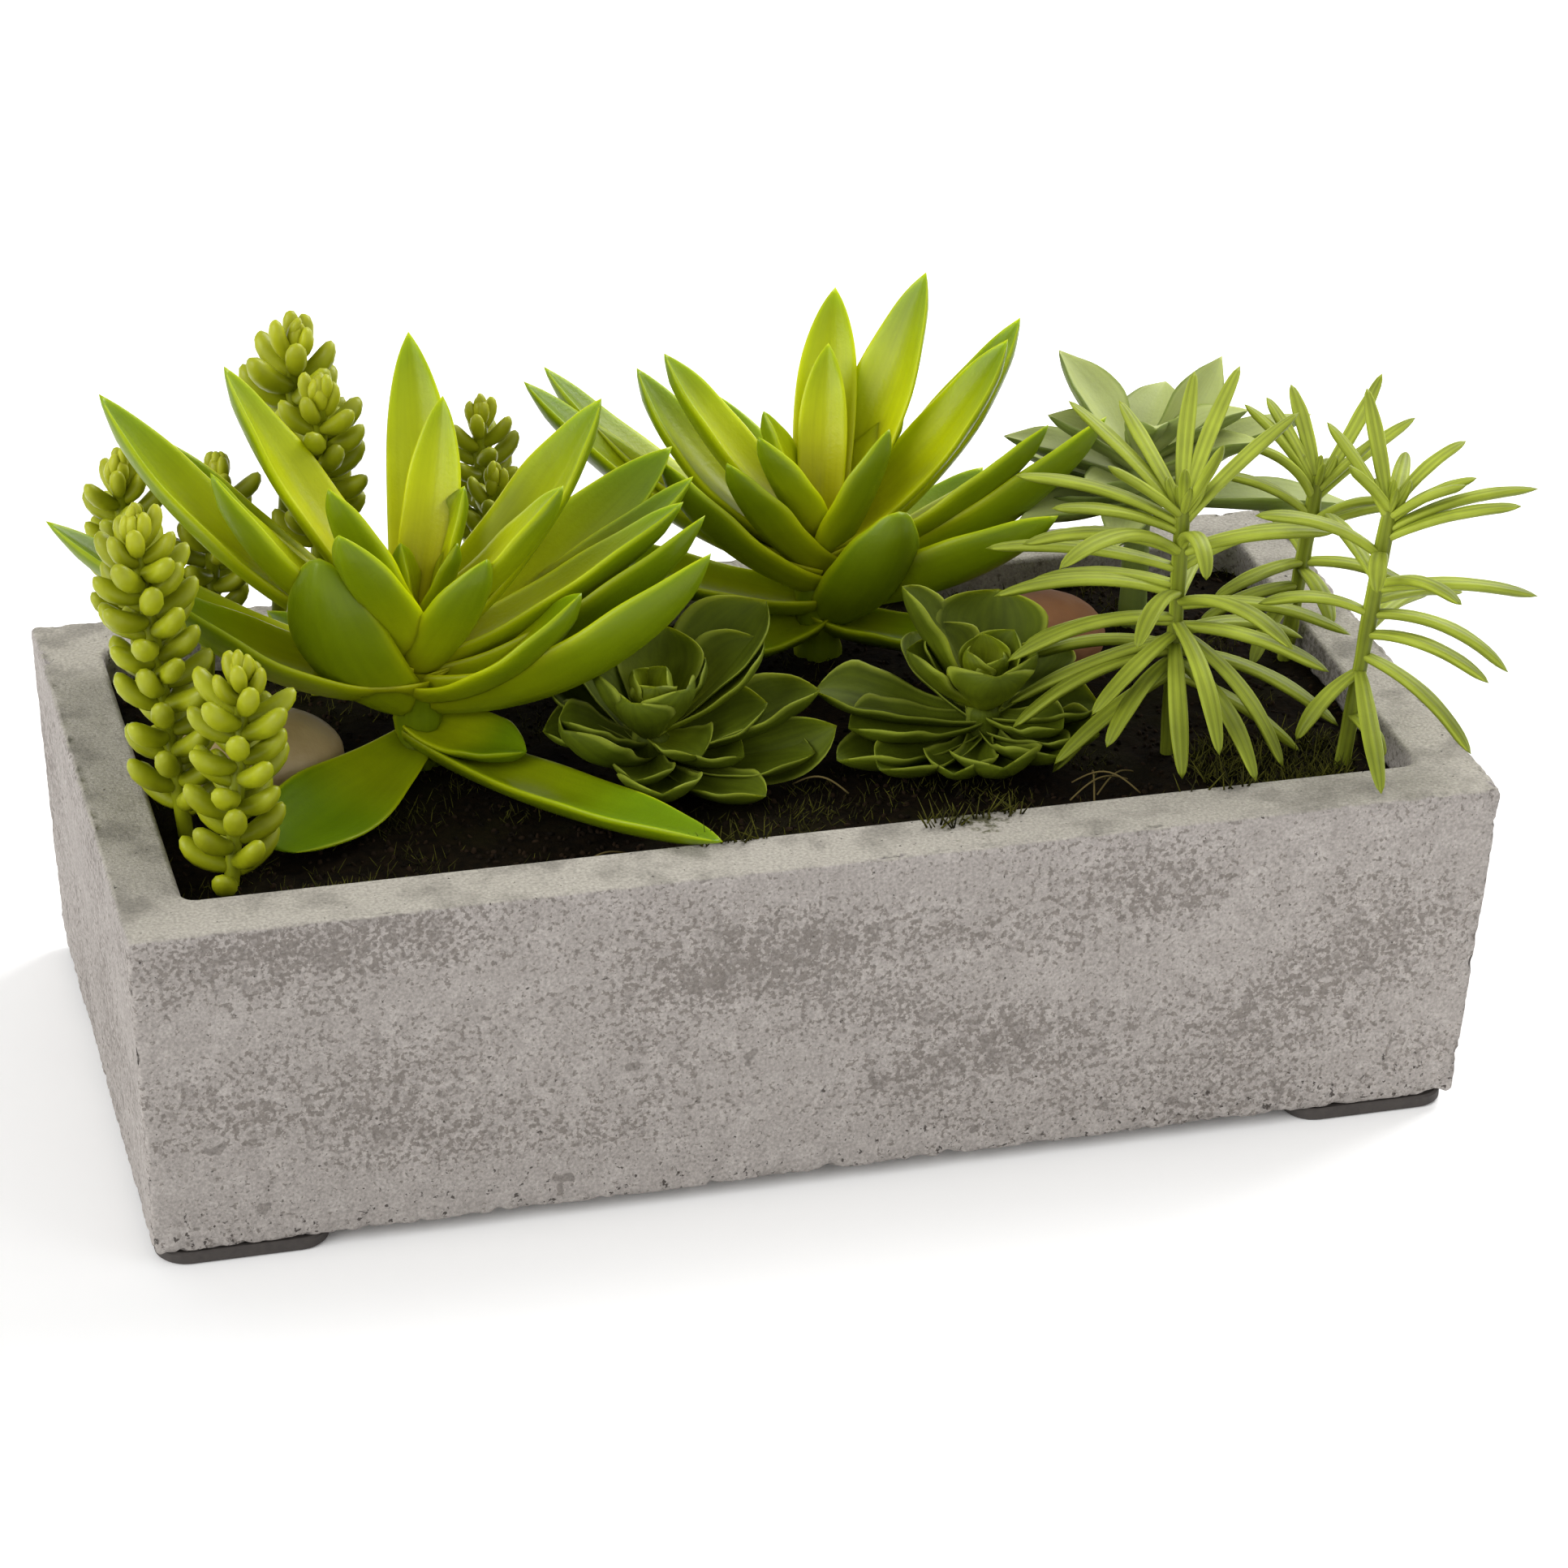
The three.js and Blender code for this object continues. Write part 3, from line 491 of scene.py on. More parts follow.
def soil_bed(settings):
    """The filling: a lumpy top inside the cavity, and plain sides down to the cavity's floor."""
    half_x, half_y = HALF_LENGTH - END_WALL - SOIL_GAP, HALF_DEPTH - SIDE_WALL - SOIL_GAP
    row, shrink, sink = SOIL_STEPS_X + 1, 1 - SOIL_INSET / half_y, CAVITY_TAPER / half_y
    points, faces = [], []
    for j in range(SOIL_STEPS_Y + 1):
        for i in range(row):
            x = half_x * (2 * i / SOIL_STEPS_X - 1)
            y = half_y * (2 * j / SOIL_STEPS_Y - 1)
            over_x, over_y = abs(x) - (half_x - CAVITY_CORNER), abs(y) - (half_y - CAVITY_CORNER)
            # A corner's points are drawn in to its arc.
            if over_x > 0 and over_y > 0:
                pull = max(over_x, over_y) / math.hypot(over_x, over_y)
                x = math.copysign(half_x - CAVITY_CORNER + over_x * pull, x)
                y = math.copysign(half_y - CAVITY_CORNER + over_y * pull, y)
            points.append((x * shrink, y * shrink, soil_height(x, y)))
            a = j * row + i
            if i and j:
                faces.append((a - row - 1, a - row, a, a - 1))
    # The points round the top's edge, anticlockwise from the front left.
    last = SOIL_STEPS_Y * row
    front, right = range(row), range(2 * row - 1, last + row, row)
    back, left = range(last + row - 2, last - 1, -1), range(last - row, 0, -row)
    rim, start = [*front, *right, *back, *left], len(points)
    points += [(points[k][0] * (1 - sink), points[k][1] * (1 - sink), CAVITY_FLOOR) for k in rim]
    points.append((0, 0, CAVITY_FLOOR))
    for k in range(len(rim)):
        n = (k + 1) % len(rim)
        faces += [(rim[n], rim[k], start + k, start + n), (start + n, start + k, len(points) - 1)]
    mesh = mesh_of("soil bed", points, faces)
    return new_piece("soil_bed", mesh, potting_soil(settings), "soil", "soil")


def potting_soil(settings):
    """Potting soil: very dark and matt, with browner crumbs and a little green in it."""
    material, put = new_material("potting soil")
    place = put("TexCoord").outputs["Object"]
    # Crumbs of 1 to 3 mm, and patches of 20 mm where the moss has taken.
    crumbs = put("TexNoise", {"Vector": place, "Scale": 500.0, "Detail": 5.0})
    patches = put("TexNoise", {"Vector": place, "Scale": 50.0, "Detail": 3.0})
    tone = layered(
        put, settings.earth,
        (put("MapRange", [crumbs, 0.35, 0.75]), "#181108"),
        (put("MapRange", [patches, 0.5, 0.7, 0.0, 0.5]), "#1B1A07"),
    )
    surface = {"Base Color": tone, "Roughness": 0.95, "Specular IOR Level": 0.05}
    return finished(material, put, surface, crumbs, strength=0.8, depth=1)


def new_tree(name, *inputs):
    """A geometry tree with a mesh in, a mesh out and named inputs between."""
    tree = bpy.data.node_groups.new(name, "GeometryNodeTree")
    for label, kind in (("Geometry", "Geometry"), *inputs):
        tree.interface.new_socket(label, in_out="INPUT", socket_type="NodeSocket" + kind)
    tree.interface.new_socket("Geometry", in_out="OUTPUT", socket_type="NodeSocketGeometry")
    return tree, partial(add, tree), tree.nodes.new("NodeGroupInput").outputs


def end_tree(put, geometry, material):
    """Realizes the instances, sets their material and ends the tree."""
    real = put("GeometryNodeRealizeInstances", [geometry])
    painted = put("GeometryNodeSetMaterial", {"Geometry": real, "Material": material})
    put("NodeGroupOutput", [painted])


def grown(name, start, tree, values):
    """The plain mesh that a geometry tree makes of a starting mesh, with its inputs set."""
    seedling = bpy.data.objects.new(name, start)
    bpy.context.scene.collection.objects.link(seedling)
    modifier = seedling.modifiers.new(name, "NODES")
    modifier.node_group = tree
    for item in tree.interface.items_tree:
        if item.in_out == "INPUT" and item.name in values:
            modifier[item.identifier] = values[item.name]
    seedling.update_tag()
    depsgraph = bpy.context.evaluated_depsgraph_get()
    mesh = bpy.data.meshes.new_from_object(seedling.evaluated_get(depsgraph))
    seedling.modifiers.clear()
    bpy.data.objects.remove(seedling)
    return mesh


def scatter_tree(material, crumb):
    """Crumbs, or moss shoots, strewn over the upward faces of a mesh, thick where noise is high."""
    tree, put, given = new_tree(
        "strewn crumbs" if crumb else "moss shoots",
        ("Density", "Float"), ("Size", "Float"), ("Patch Size", "Float"),
    )
    upward = put("SeparateXYZ", [put("GeometryNodeInputNormal")]).outputs["Z"]
    up = put("FunctionNodeCompare", [upward, 0.4], operation="GREATER_THAN")
    inverse = put("Math", [1.0, given["Patch Size"]], operation="DIVIDE")
    patches = put("TexNoise", {"Scale": inverse, "Detail": 3.0})
    share = put("MapRange", [patches, *((0.3, 0.6) if crumb else (0.5, 0.68))])
    density = put("Math", [share, given["Density"]], operation="MULTIPLY")
    points = put(
        "GeometryNodeDistributePointsOnFaces",
        {"Mesh": given["Geometry"], "Selection": up, "Density": density, "Seed": RANDOM_SEED},
    )
    if crumb:
        shape = put("GeometryNodeMeshIcoSphere", {"Radius": 1.0, "Subdivisions": 1})
        spread, least, most = (math.pi,) * 3, (0.35, 0.35, 0.25), (1.4, 1.1, 0.9)
    else:
        cone = {"Vertices": 3, "Radius Top": 0.02, "Radius Bottom": 0.16, "Depth": 2.6}
        shape = put("GeometryNodeMeshCone", cone, fill_type="NGON")
        spread, least, most = (0.9, 0.9, math.pi), (0.7, 0.7, 0.4), (1.2, 1.2, 1.5)
    back = tuple(-s for s in spread)
    turn, stretch = (
        put(RANDOM, {0: low, 1: high, "Seed": RANDOM_SEED + k}, data_type="FLOAT_VECTOR")
        for k, (low, high) in enumerate([(back, spread), (least, most)], 1)
    )
    size = put("VectorMath", {0: stretch, "Scale": given["Size"]}, operation="SCALE")
    strewn = put(
        "GeometryNodeInstanceOnPoints",
        {"Points": points, "Instance": shape, "Rotation": turn, "Scale": size},
    )
    chance = put(RANDOM, {"Seed": RANDOM_SEED + 3}, data_type="FLOAT")
    mark = {"Geometry": strewn, "Name": "tint", "Value": chance}
    end_tree(put, put(MARK, mark, data_type="FLOAT", domain="INSTANCE"), material)
    return tree


def tinted_material(name, first, second, roughness):
    """A matt surface whose colour lies between two, by each grain's own tint."""
    material, put = new_material(name)
    tint = put("Attribute", attribute_name="tint").outputs["Fac"]
    tone = layered(put, first, (tint, second))
    surface = {"Base Color": tone, "Roughness": roughness, "Specular IOR Level": 0.1}
    return finished(material, put, surface)


def soil_litter(bed, settings):
    """Crumbs, moss and straw on the soil. A geometry tree strews the first two."""
    # Crumbs of dry peat and bark are matt, from black to brown. Dry moss is olive to brown.
    crumbs = tinted_material("peat crumbs", settings.earth, "#261B10", 0.95)
    moss = tinted_material("dry moss", "#14130A", settings.moss, 0.9)
    straw = tinted_material("dry straw", "#5E5230", "#8C7C4C", 0.8)
    strewn, shoots = scatter_tree(crumbs, True), scatter_tree(moss, False)
    beds = [bed.data.copy(), bed.data.copy(), tuft_patch()]
    # The last are the thicker tufts on the soil and on the front wall's inner edge.
    for name, start, material, tree, density, size, patch in (
        ("soil_crumbs", beds[0], crumbs, strewn, settings.crumb_density, settings.crumb, CRUMB_PATCH),
        ("soil_moss", beds[1], moss, shoots, settings.moss_density, MOSS_SHOOT * MM, MOSS_PATCH),
        ("rim_moss", beds[2], moss, shoots, TUFT_DENSITY, TUFT_SHOOT * MM, TUFT_PATCH),
    ):
        values = {"Density": density, "Size": size, "Patch Size": patch * MM}
        new_piece(name, grown(name, start, tree, values), material, "soil")
    new_piece("soil_straw", straw_fibres(), straw, "soil")


# Moss tufts on the rim and the soil beside it, as [middle, half length, half depth, level].
TUFTS = [
    ((27.5, -63.2), 6, 3, RIM_LEVEL), ((27, -56.5), 6.5, 3.5, SOIL_LEVEL),
    ((39.5, -62.8), 7.5, 2.3, RIM_LEVEL), ((-20, -61.5), 9, 1, RIM_LEVEL),
    ((90, -61.5), 9, 1, RIM_LEVEL), ((112, -40), 19, 15, SOIL_LEVEL),
    ((-104, -54), 12, 4, SOIL_LEVEL),
]
TUFT_SIDES = 24
TUFT_DENSITY = 6000000
# Moss shoots stand 2.6 times this high, and crumbs, moss and tufts lie in patches this wide.
MOSS_SHOOT, TUFT_SHOOT = 1, 1.7
CRUMB_PATCH, MOSS_PATCH, TUFT_PATCH = 12, 18, 6

# Straws that lie on the soil: [start, end, height of the arch].
STRAWS = [
    ((61, -49, 77), (76, -44, 78), 3), ((64, -41, 77), (77, -50, 77.5), 4),
    ((68, -47, 76.5), (79, -39, 77), 2.5), ((70, -37, 77), (66, -51, 77), 3),
    ((-52, -55, 77), (-40, -51, 77), 2), ((14, -35, 77), (3, -28, 77), 3),
]
STRAW_RADIUS = 0.22
STRAW_STEPS = 14
STRAW_SIDES = 5


def tuft_patch():
    """Flat ovals on the rim and the soil for the moss to grow on."""
    points, faces = [], []
    for (x, y), reach_x, reach_y, level in TUFTS:
        for i in range(TUFT_SIDES):
            turn = 2 * math.pi * i / TUFT_SIDES
            points.append((x + reach_x * math.cos(turn), y + reach_y * math.sin(turn), level))
        faces.append(tuple(range(len(points) - TUFT_SIDES, len(points))))
    return mesh_of("tuft patch", points, faces)


def straw_fibres():
    """Thin closed tubes that arch from one end to the other."""
    points, faces = [], []
    t = np.linspace(0, 1, STRAW_STEPS)[:, None]
    for start, end, arch in STRAWS:
        line = np.array(start) + t * (np.array(end, float) - start)
        line[:, 2] += arch * np.sin(math.pi * t[:, 0])
        along = np.gradient(line, axis=0)
        side = np.cross(along, (0, 0, 1))
        side /= np.linalg.norm(side, axis=1)[:, None]
        face = np.cross(side, along)
        face /= np.linalg.norm(face, axis=1)[:, None]
        straw, skin = tube(line, side, face, np.full(STRAW_STEPS, STRAW_RADIUS), STRAW_SIDES)
        faces += [tuple(k + len(points) for k in corners) for corners in skin]
        points += list(straw)
    return mesh_of("straw", points, faces)


# Stones. Their corners are welded, their faces split and their skin sunk in lumps.

STONE_WELD = 0.01
STONE_LEVELS = 3
STONE_LUMP = 9


def stone(node, name, material, slot, lumps):
    """A smooth stone grown from the node's own solid, with finer lumps."""
    mould = bpy.data.objects.new(name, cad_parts[node].data.copy())
    bpy.context.scene.collection.objects.link(mould)
    mould.modifiers.new("weld", "WELD").merge_threshold = STONE_WELD * MM
    fine = mould.modifiers.new("fine", "SUBSURF")
    fine.levels = fine.render_levels = STONE_LEVELS
    depsgraph = bpy.context.evaluated_depsgraph_get()
    mesh = bpy.data.meshes.new_from_object(mould.evaluated_get(depsgraph))
    bpy.data.objects.remove(mould)
    skin = [(vertex.co.copy(), vertex.normal.copy()) for vertex in mesh.vertices]
    for vertex, (place, normal) in zip(mesh.vertices, skin):
        inset = lumps * (0.5 + 0.5 * noise.fractal(place / (STONE_LUMP * MM), 0.8, 2.0, 4))
        vertex.co = place - normal * inset
    new_piece(name, mesh, material, slot, node)


def stone_material(name, pale, dark, roughness):
    """River stone: fine grained, its colour drifting over centimetres with darker flecks."""
    material, put = new_material(name)
    place = put("TexCoord").outputs["Object"]
    drift = put("TexNoise", {"Vector": place, "Scale": 90.0, "Detail": 6.0})
    grain = put("TexNoise", {"Vector": place, "Scale": 900.0, "Detail": 4.0})
    surface = {"Base Color": layered(put, pale, (drift, dark)), "Roughness": roughness}
    return finished(material, put, surface, grain, strength=0.3, depth=0.4)


# Leaves. A row is [heading, rise, length, width, curl, level, roll, form]: the compass
# direction from the stem (0 is +X, 90 is +Y), the climb of the whole leaf, its length and
# width, how far its tip bends up (or down where negative), the height where it leaves the
# stem, a turn about its own length, and a form other than the plant's own. Angles are degrees.

# Outlines give the share of the full width at stations along the leaf. thick is its
# thickness, cup how far the edges stand above the midrib for each mm of half width, clasp how
# much more they do at the foot and wave how far the edge wavers. arch multiplies a row's
# curl, and slim its width. grid is the points across the face and the rings along the leaf, for
# the plants whose own form it is.
LEAF_FORMS = {
    "lance": {
        "outline": [[0, 0.72], [0.2, 0.9], [0.46, 1], [0.7, 0.88], [0.86, 0.56], [0.95, 0.25], [1, 0]],
        "thick": 4.2, "cup": 0.45, "hollow": 1.5, "wave": 0.35, "clasp": 0.55, "grid": (11, 26),
    },
    "bowl": {
        "outline": [[0, 0.45], [0.25, 0.84], [0.5, 1], [0.75, 0.84], [0.9, 0.5], [0.97, 0.26], [1, 0]],
        "thick": 3.8, "cup": 0.4, "hollow": 1.8, "wave": 0.3, "clasp": 0.4,
    },
    "spoon": {
        "outline": [[0, 0.4], [0.3, 0.7], [0.62, 1], [0.82, 0.9], [0.94, 0.56], [0.98, 0.34], [1, 0]],
        "thick": 3.6, "cup": 0.26, "hollow": 1.7, "wave": 0.3, "clasp": 0.4,
    },
    "petal": {
        "outline": [[0, 0.3], [0.3, 0.62], [0.58, 0.95], [0.72, 1], [0.87, 0.76], [0.95, 0.4], [1, 0]],
        "thick": 2.0, "cup": 0.55, "hollow": 2.0, "wave": 0.5, "clasp": 0.2, "grid": (11, 20),
    },
    "hooked": {
        "outline": [[0, 0.34], [0.25, 0.58], [0.55, 1], [0.78, 0.68], [0.92, 0.26], [1, 0]],
        "thick": 3.0, "cup": 0.5, "hollow": 1.6, "wave": 0.3, "clasp": 0.2, "grid": (11, 20),
    },
    "needle": {
        "outline": [[0, 0.6], [0.25, 0.86], [0.6, 1], [0.86, 0.74], [0.96, 0.4], [1, 0]],
        "thick": 2.7, "cup": 0.12, "hollow": 1.3, "wave": 0.12, "clasp": 0.0, "arch": 1.4,
        "slim": 0.88, "grid": (7, 16),
    },
}
# A leaf's most thickness as a share of its width, the share of it that it has at the foot, and
# the share of it that lies above the midrib.
MOST_PLUMP, FOOT_PLUMP, OVER_MIDRIB = 0.58, 0.55, 0.3
# The share of its length in which the tip thins and the power by which it does, and the share
# in which the foot clasps the stem.
TIP_REACH, TIP_ROUND, CLASP_REACH = 0.12, 0.6, 0.3
# The most that chance bends it sideways, as a share of its length, and twists it, in degrees.
LEAF_SWAY, LEAF_TWIST = 0.06, 16
SPINE_STEPS, RING_SHIFT = 48, 0.1
STALK_SIDES, STALK_RINGS = 14, 16

# A bud's leaves turn by the golden angle, each shorter, steeper and higher than the last. A
# plant's bud is [count, longest leaf, width as a share of it, depth below the plant's top].
GOLDEN_ANGLE = 137.5
BUD_SHRINK, BUD_STEEPER, BUD_STEP = 0.09, 3, 0.5
BUD_RISE, BUD_CURL, BUD_RINGS = 62, 14, 10


class Foliage:
    """The points, faces and markings of one plant's leaves and stems."""

    def __init__(self):
        self.points, self.faces, self.blade, self.growth = [], [], [], []
        self.count = 0

    def add(self, points, faces, blade, growth):
        self.points.append(points)
        self.faces += [tuple(k + self.count for k in face) for face in faces]
        self.blade.append(blade)
        self.growth.append(np.tile(growth, (len(points), 1)))
        self.count += len(points)

    def mesh(self, name):
        """The mesh, with each point's place on its leaf and each leaf's age and chance."""
        mesh = bpy.data.meshes.new(name)
        mesh.from_pydata(placed(np.concatenate(self.points)).tolist(), [], self.faces)
        for label, rows in (("blade", self.blade), ("growth", self.growth)):
            marking = mesh.attributes.new(label, "FLOAT_VECTOR", "POINT")
            marking.data.foreach_set("vector", np.concatenate(rows).astype(np.float32).ravel())
        mesh.update()
        return mesh


def leaf(foliage, row, foot, form, across, rings, age, chance):
    """One leaf as a closed skin: a channelled face, a round edge and a keeled back."""
    heading, rise, reach, width, curl = row[:5]
    width *= form.get("slim", 1)
    roll = row[6] if len(row) > 6 else 0
    sway = (chance[0] - 0.5) * LEAF_SWAY * reach
    twist = (chance[1] - 0.5) * LEAF_TWIST
    # The spine climbs in small steps. The rings stand on it, closest together at the tip.
    s = np.linspace(0, 1, SPINE_STEPS + 1)
    climb = np.radians(rise + curl * form.get("arch", 1) * (s - 0.5))
    out = np.array([math.cos(math.radians(heading)), math.sin(math.radians(heading)), 0])
    left = np.array([-out[1], out[0], 0])
    step = reach / SPINE_STEPS
    middle = (climb[1:] + climb[:-1]) / 2
    run, lift = (np.concatenate([[0], np.cumsum(part(middle) * step)]) for part in (np.cos, np.sin))
    t = np.linspace(0, 1, rings + 1)
    t = t + RING_SHIFT * np.sin(math.pi * t) * t
    run, lift, climb = (np.interp(t, s, line) for line in (run, lift, climb))
    place = foot + run[:, None] * out + (sway * np.sin(math.pi * t))[:, None] * left
    place[:, 2] += lift
    along = np.cos(climb)[:, None] * out
    along[:, 2] = np.sin(climb)
    turn = np.radians(roll + twist * t)[:, None]
    side = left * np.cos(turn) + np.cross(along, left) * np.sin(turn)
    face = np.cross(along, side)
    share = smooth_line(form["outline"], t)
    half = width / 2 * share
    thick = min(form["thick"], MOST_PLUMP * width) * (FOOT_PLUMP + (1 - FOOT_PLUMP) * share)
    thick *= np.clip((1 - t) / TIP_REACH, 0, 1) ** TIP_ROUND
    # Across the leaf, u runs from one edge (1) to the other (-1) over its face and back below it.
    angle = np.linspace(0, math.pi, across)
    u, upper = (np.concatenate([part(angle), -part(angle)[1:-1]]) for part in (np.cos, np.sin))
    waves = (19, chance[2] * 40), (8, chance[0] * 60)
    waver = sum(form["wave"] * np.sin(t * rate + start) for rate, start in waves)
    clasp = 1 + form["clasp"] * np.clip(1 - t / CLASP_REACH, 0, 1) ** 2
    raised = form["cup"] * (clasp * half)[:, None] * np.abs(u) ** form["hollow"]
    raised = raised + waver[:, None] * np.abs(u) ** 2 * np.sign(u) * (share * t)[:, None]
    bulge = np.where(upper > 0, OVER_MIDRIB, 1 - OVER_MIDRIB) * upper
    height = raised + thick[:, None] * bulge
    spread = (half[:, None] * u)[:, :, None] * side[:, None, :]
    points = place[:, None, :] + spread + height[:, :, None] * face[:, None, :]
    skin, around = points[:-1].reshape(-1, 3), len(u)
    last = len(skin) - around
    faces = ring_faces(rings, around)
    faces += [(last + i, last + (i + 1) % around, len(skin)) for i in range(around)]
    faces.append(tuple(reversed(range(around))))
    blade = np.stack([np.repeat(t[:-1], around), np.tile(u, rings), np.tile(upper, rings)], 1)
    marking = [age, chance[1], reach / 100]
    foliage.add(np.vstack([skin, place[-1]]), faces, np.vstack([blade, [1, 0, 0]]), marking)


def stalk(foliage, foot, top, radius):
    """A round stem from below the soil to its top, a little swollen here and there."""
    t = np.linspace(0, 1, STALK_RINGS)
    swell = 1 + 0.06 * np.sin(t * 23 + foot[0]) + 0.05 * np.sin(t * 11 + foot[1])
    reach = radius * swell * np.where(t > 0.97, 0.7, 1)
    line = foot + t[:, None] * (top - foot)
    side, face = (np.tile(axis, (STALK_RINGS, 1)) for axis in ((1, 0, 0), (0, 1, 0)))
    points, faces = tube(line, side, face, reach, STALK_SIDES)
    turn = np.linspace(0, 2 * math.pi, STALK_SIDES, endpoint=False)
    count = len(points)
    blade = np.stack([np.full(count, 0.4), np.tile(np.cos(turn), STALK_RINGS), -np.ones(count)], 1)
    foliage.add(points, faces, blade, [1.0, 0.5, 0.5])


def stem_point(plant, level):
    """The point on a plant's stem at that level."""
    foot, top = np.array(plant["foot"], float), np.array(plant["top"], float)
    share = (level - SOIL_LEVEL) / (top[2] - SOIL_LEVEL)
    return np.array([*(foot + (top[:2] - foot) * share), level])


def leafy_plant(name, plant, material, slot):
    """A plant's leaves on its stem, as one piece that stands for the node of that name."""
    random = np.random.default_rng(RANDOM_SEED + len(name))
    foliage = Foliage()
    top, own_form = plant["top"][2], LEAF_FORMS[plant["form"]]
    across, rings = own_form["grid"]
    stem_top = stem_point(plant, top - plant.get("sunk", 0))
    stalk(foliage, stem_point(plant, SOIL_LEVEL - ROOT_DEPTH), stem_top, plant["stem"])
    levels = [row[5] for row in plant["leaves"]]
    low, high = min(levels), max(levels)
    for row in plant["leaves"]:
        form = LEAF_FORMS[row[7]] if len(row) > 7 else own_form
        age = (high - row[5]) / (high - low)
        leaf(foliage, row, stem_point(plant, row[5]), form, across, rings, age, random.random(3))
    count, longest, width, drop = plant["bud"]
    for k in range(count):
        size = longest * (1 - BUD_SHRINK * k)
        row = [k * GOLDEN_ANGLE, BUD_RISE + BUD_STEEPER * k, size, size * width, BUD_CURL]
        foot = stem_point(plant, top - drop + BUD_STEP * k)
        leaf(foliage, row, foot, own_form, across, BUD_RINGS, 0.0, random.random(3))
    new_piece(name + "_leaves", foliage.mesh(name), material, slot, name)


LANCE_ROSETTE_LEFT = {
    "form": "lance", "stem": 5.5, "foot": [-75, 5], "top": [-75, 5, 112],
    "sunk": 14, "bud": [5, 13, 0.34, 10],
    "leaves": [
        [165, 43, 95, 22, 45, 100], [150, 39, 81, 20, 38, 97], [182, 47, 67, 18, 42, 103],
        [145, 52, 74, 18, 32, 106], [160, 25, 92, 18, 35, 91], [184, 30, 71, 24, 50, 93],
        [212, 59, 58, 23, 70, 88, 30, "bowl"], [205, 63, 50, 17, 15, 104], [226, 56, 53, 18, 20, 99],
        [80, 49, 71, 15, 10, 106], [60, 66, 50, 13, 5, 110], [20, 69, 36, 13, 10, 106],
        [345, 68, 25, 10, 0, 106], [160, 82, 23, 9, 0, 106], [303, 58, 42, 20, 25, 97],
        [15, 49, 72, 22, 40, 101], [345, 49, 50, 17, 25, 106], [350, 34, 72, 19, 32, 98, -8],
        [22, 29, 80, 19, 22, 96, 12], [350, 33, 78, 18, 45, 93, -28], [336, 33, 82, 24, 58, 90, -28],
        [8, 31, 78, 18, 35, 95], [326, 39, 52, 21, 50, 92], [313, 4, 30, 16, 30, 84, 12],
        [226, -1, 57, 23, 0, 80, -15, "spoon"], [306, 4, 89, 17, 16, 80, -6], [92, 8, 58, 16, 20, 92],
        [36, 8, 50, 16, 25, 87], [132, 14, 44, 16, 30, 90],
    ],
}

LANCE_ROSETTE_RIGHT = {
    "form": "lance", "stem": 5.5, "foot": [27, 38], "top": [27, 38, 110],
    "sunk": 14, "bud": [5, 13, 0.34, 10],
    "leaves": [
        [35, 58, 69, 18, 25, 102], [71, 52, 58, 14.5, 5, 107], [72, 66, 42, 11.5, 0, 108],
        [150, 49, 59, 17, 30, 102], [142, 40, 63, 18, 42, 99], [200, 51, 43, 18, 25, 97],
        [150, 65, 34, 12, 10, 104], [205, 59, 38, 14, 10, 103], [20, 46, 33, 12, 10, 107],
        [320, 67, 42, 17, 15, 97], [15, 44, 75, 19, 45, 99], [2, 48, 67, 17, 38, 101, 10],
        [350, 35, 65, 17, 42, 96, -20], [352, 32, 80, 18, 48, 92, -38], [335, 26, 62, 20, 32, 89, -45],
        [303, 57, 45, 21, 60, 83, -30, "bowl"], [190, 44, 58, 18, 35, 92], [160, 33, 84, 17, 35, 95],
        [148, 31, 81, 16, 40, 97], [176, 20, 66, 18, 25, 87], [205, 4, 42, 16, 15, 83],
        [318, 4, 40, 15, 15, 83], [105, 26, 60, 17, 30, 95], [62, 18, 58, 17, 30, 92],
        [32, 14, 60, 16, 30, 90],
    ],
}

ECHEVERIA_LEFT = {
    "form": "petal", "stem": 4, "foot": [-26, -14], "top": [-26, -14, 90],
    "sunk": 3, "bud": [6, 11, 0.62, 5],
    "leaves": [
        [24, 37, 41, 25, 30, 85], [10, 33, 33, 23, 30, 86], [350, 19, 28, 18, 40, 84, 20],
        [355, 19, 41, 22, 35, 81], [343, 13, 44, 14, 55, 80, 65], [338, 5, 38, 19, 45, 81, 15],
        [325, 4, 23, 17, 50, 83], [300, 4, 16, 16, 20, 85], [306, 3, 34, 14, 45, 80],
        [262, 10, 28, 19, 65, 80], [245, 6, 20, 15, 50, 82], [207, 31, 31, 20, 60, 80],
        [195, 27, 26, 16, 30, 83], [175, 12, 25, 17, 20, 83], [165, 52, 21, 17, 30, 85],
        [66, 52, 25, 20, 25, 86], [20, 46, 21, 17, 30, 86], [300, 54, 19, 17, 35, 86],
        [235, 50, 19, 16, 35, 85], [140, 25, 30, 20, 20, 82], [105, 26, 32, 22, 20, 82],
        [28, 72, 14, 11, 20, 88], [150, 72, 14, 11, 20, 88], [268, 68, 13, 11, 20, 88],
    ],
}

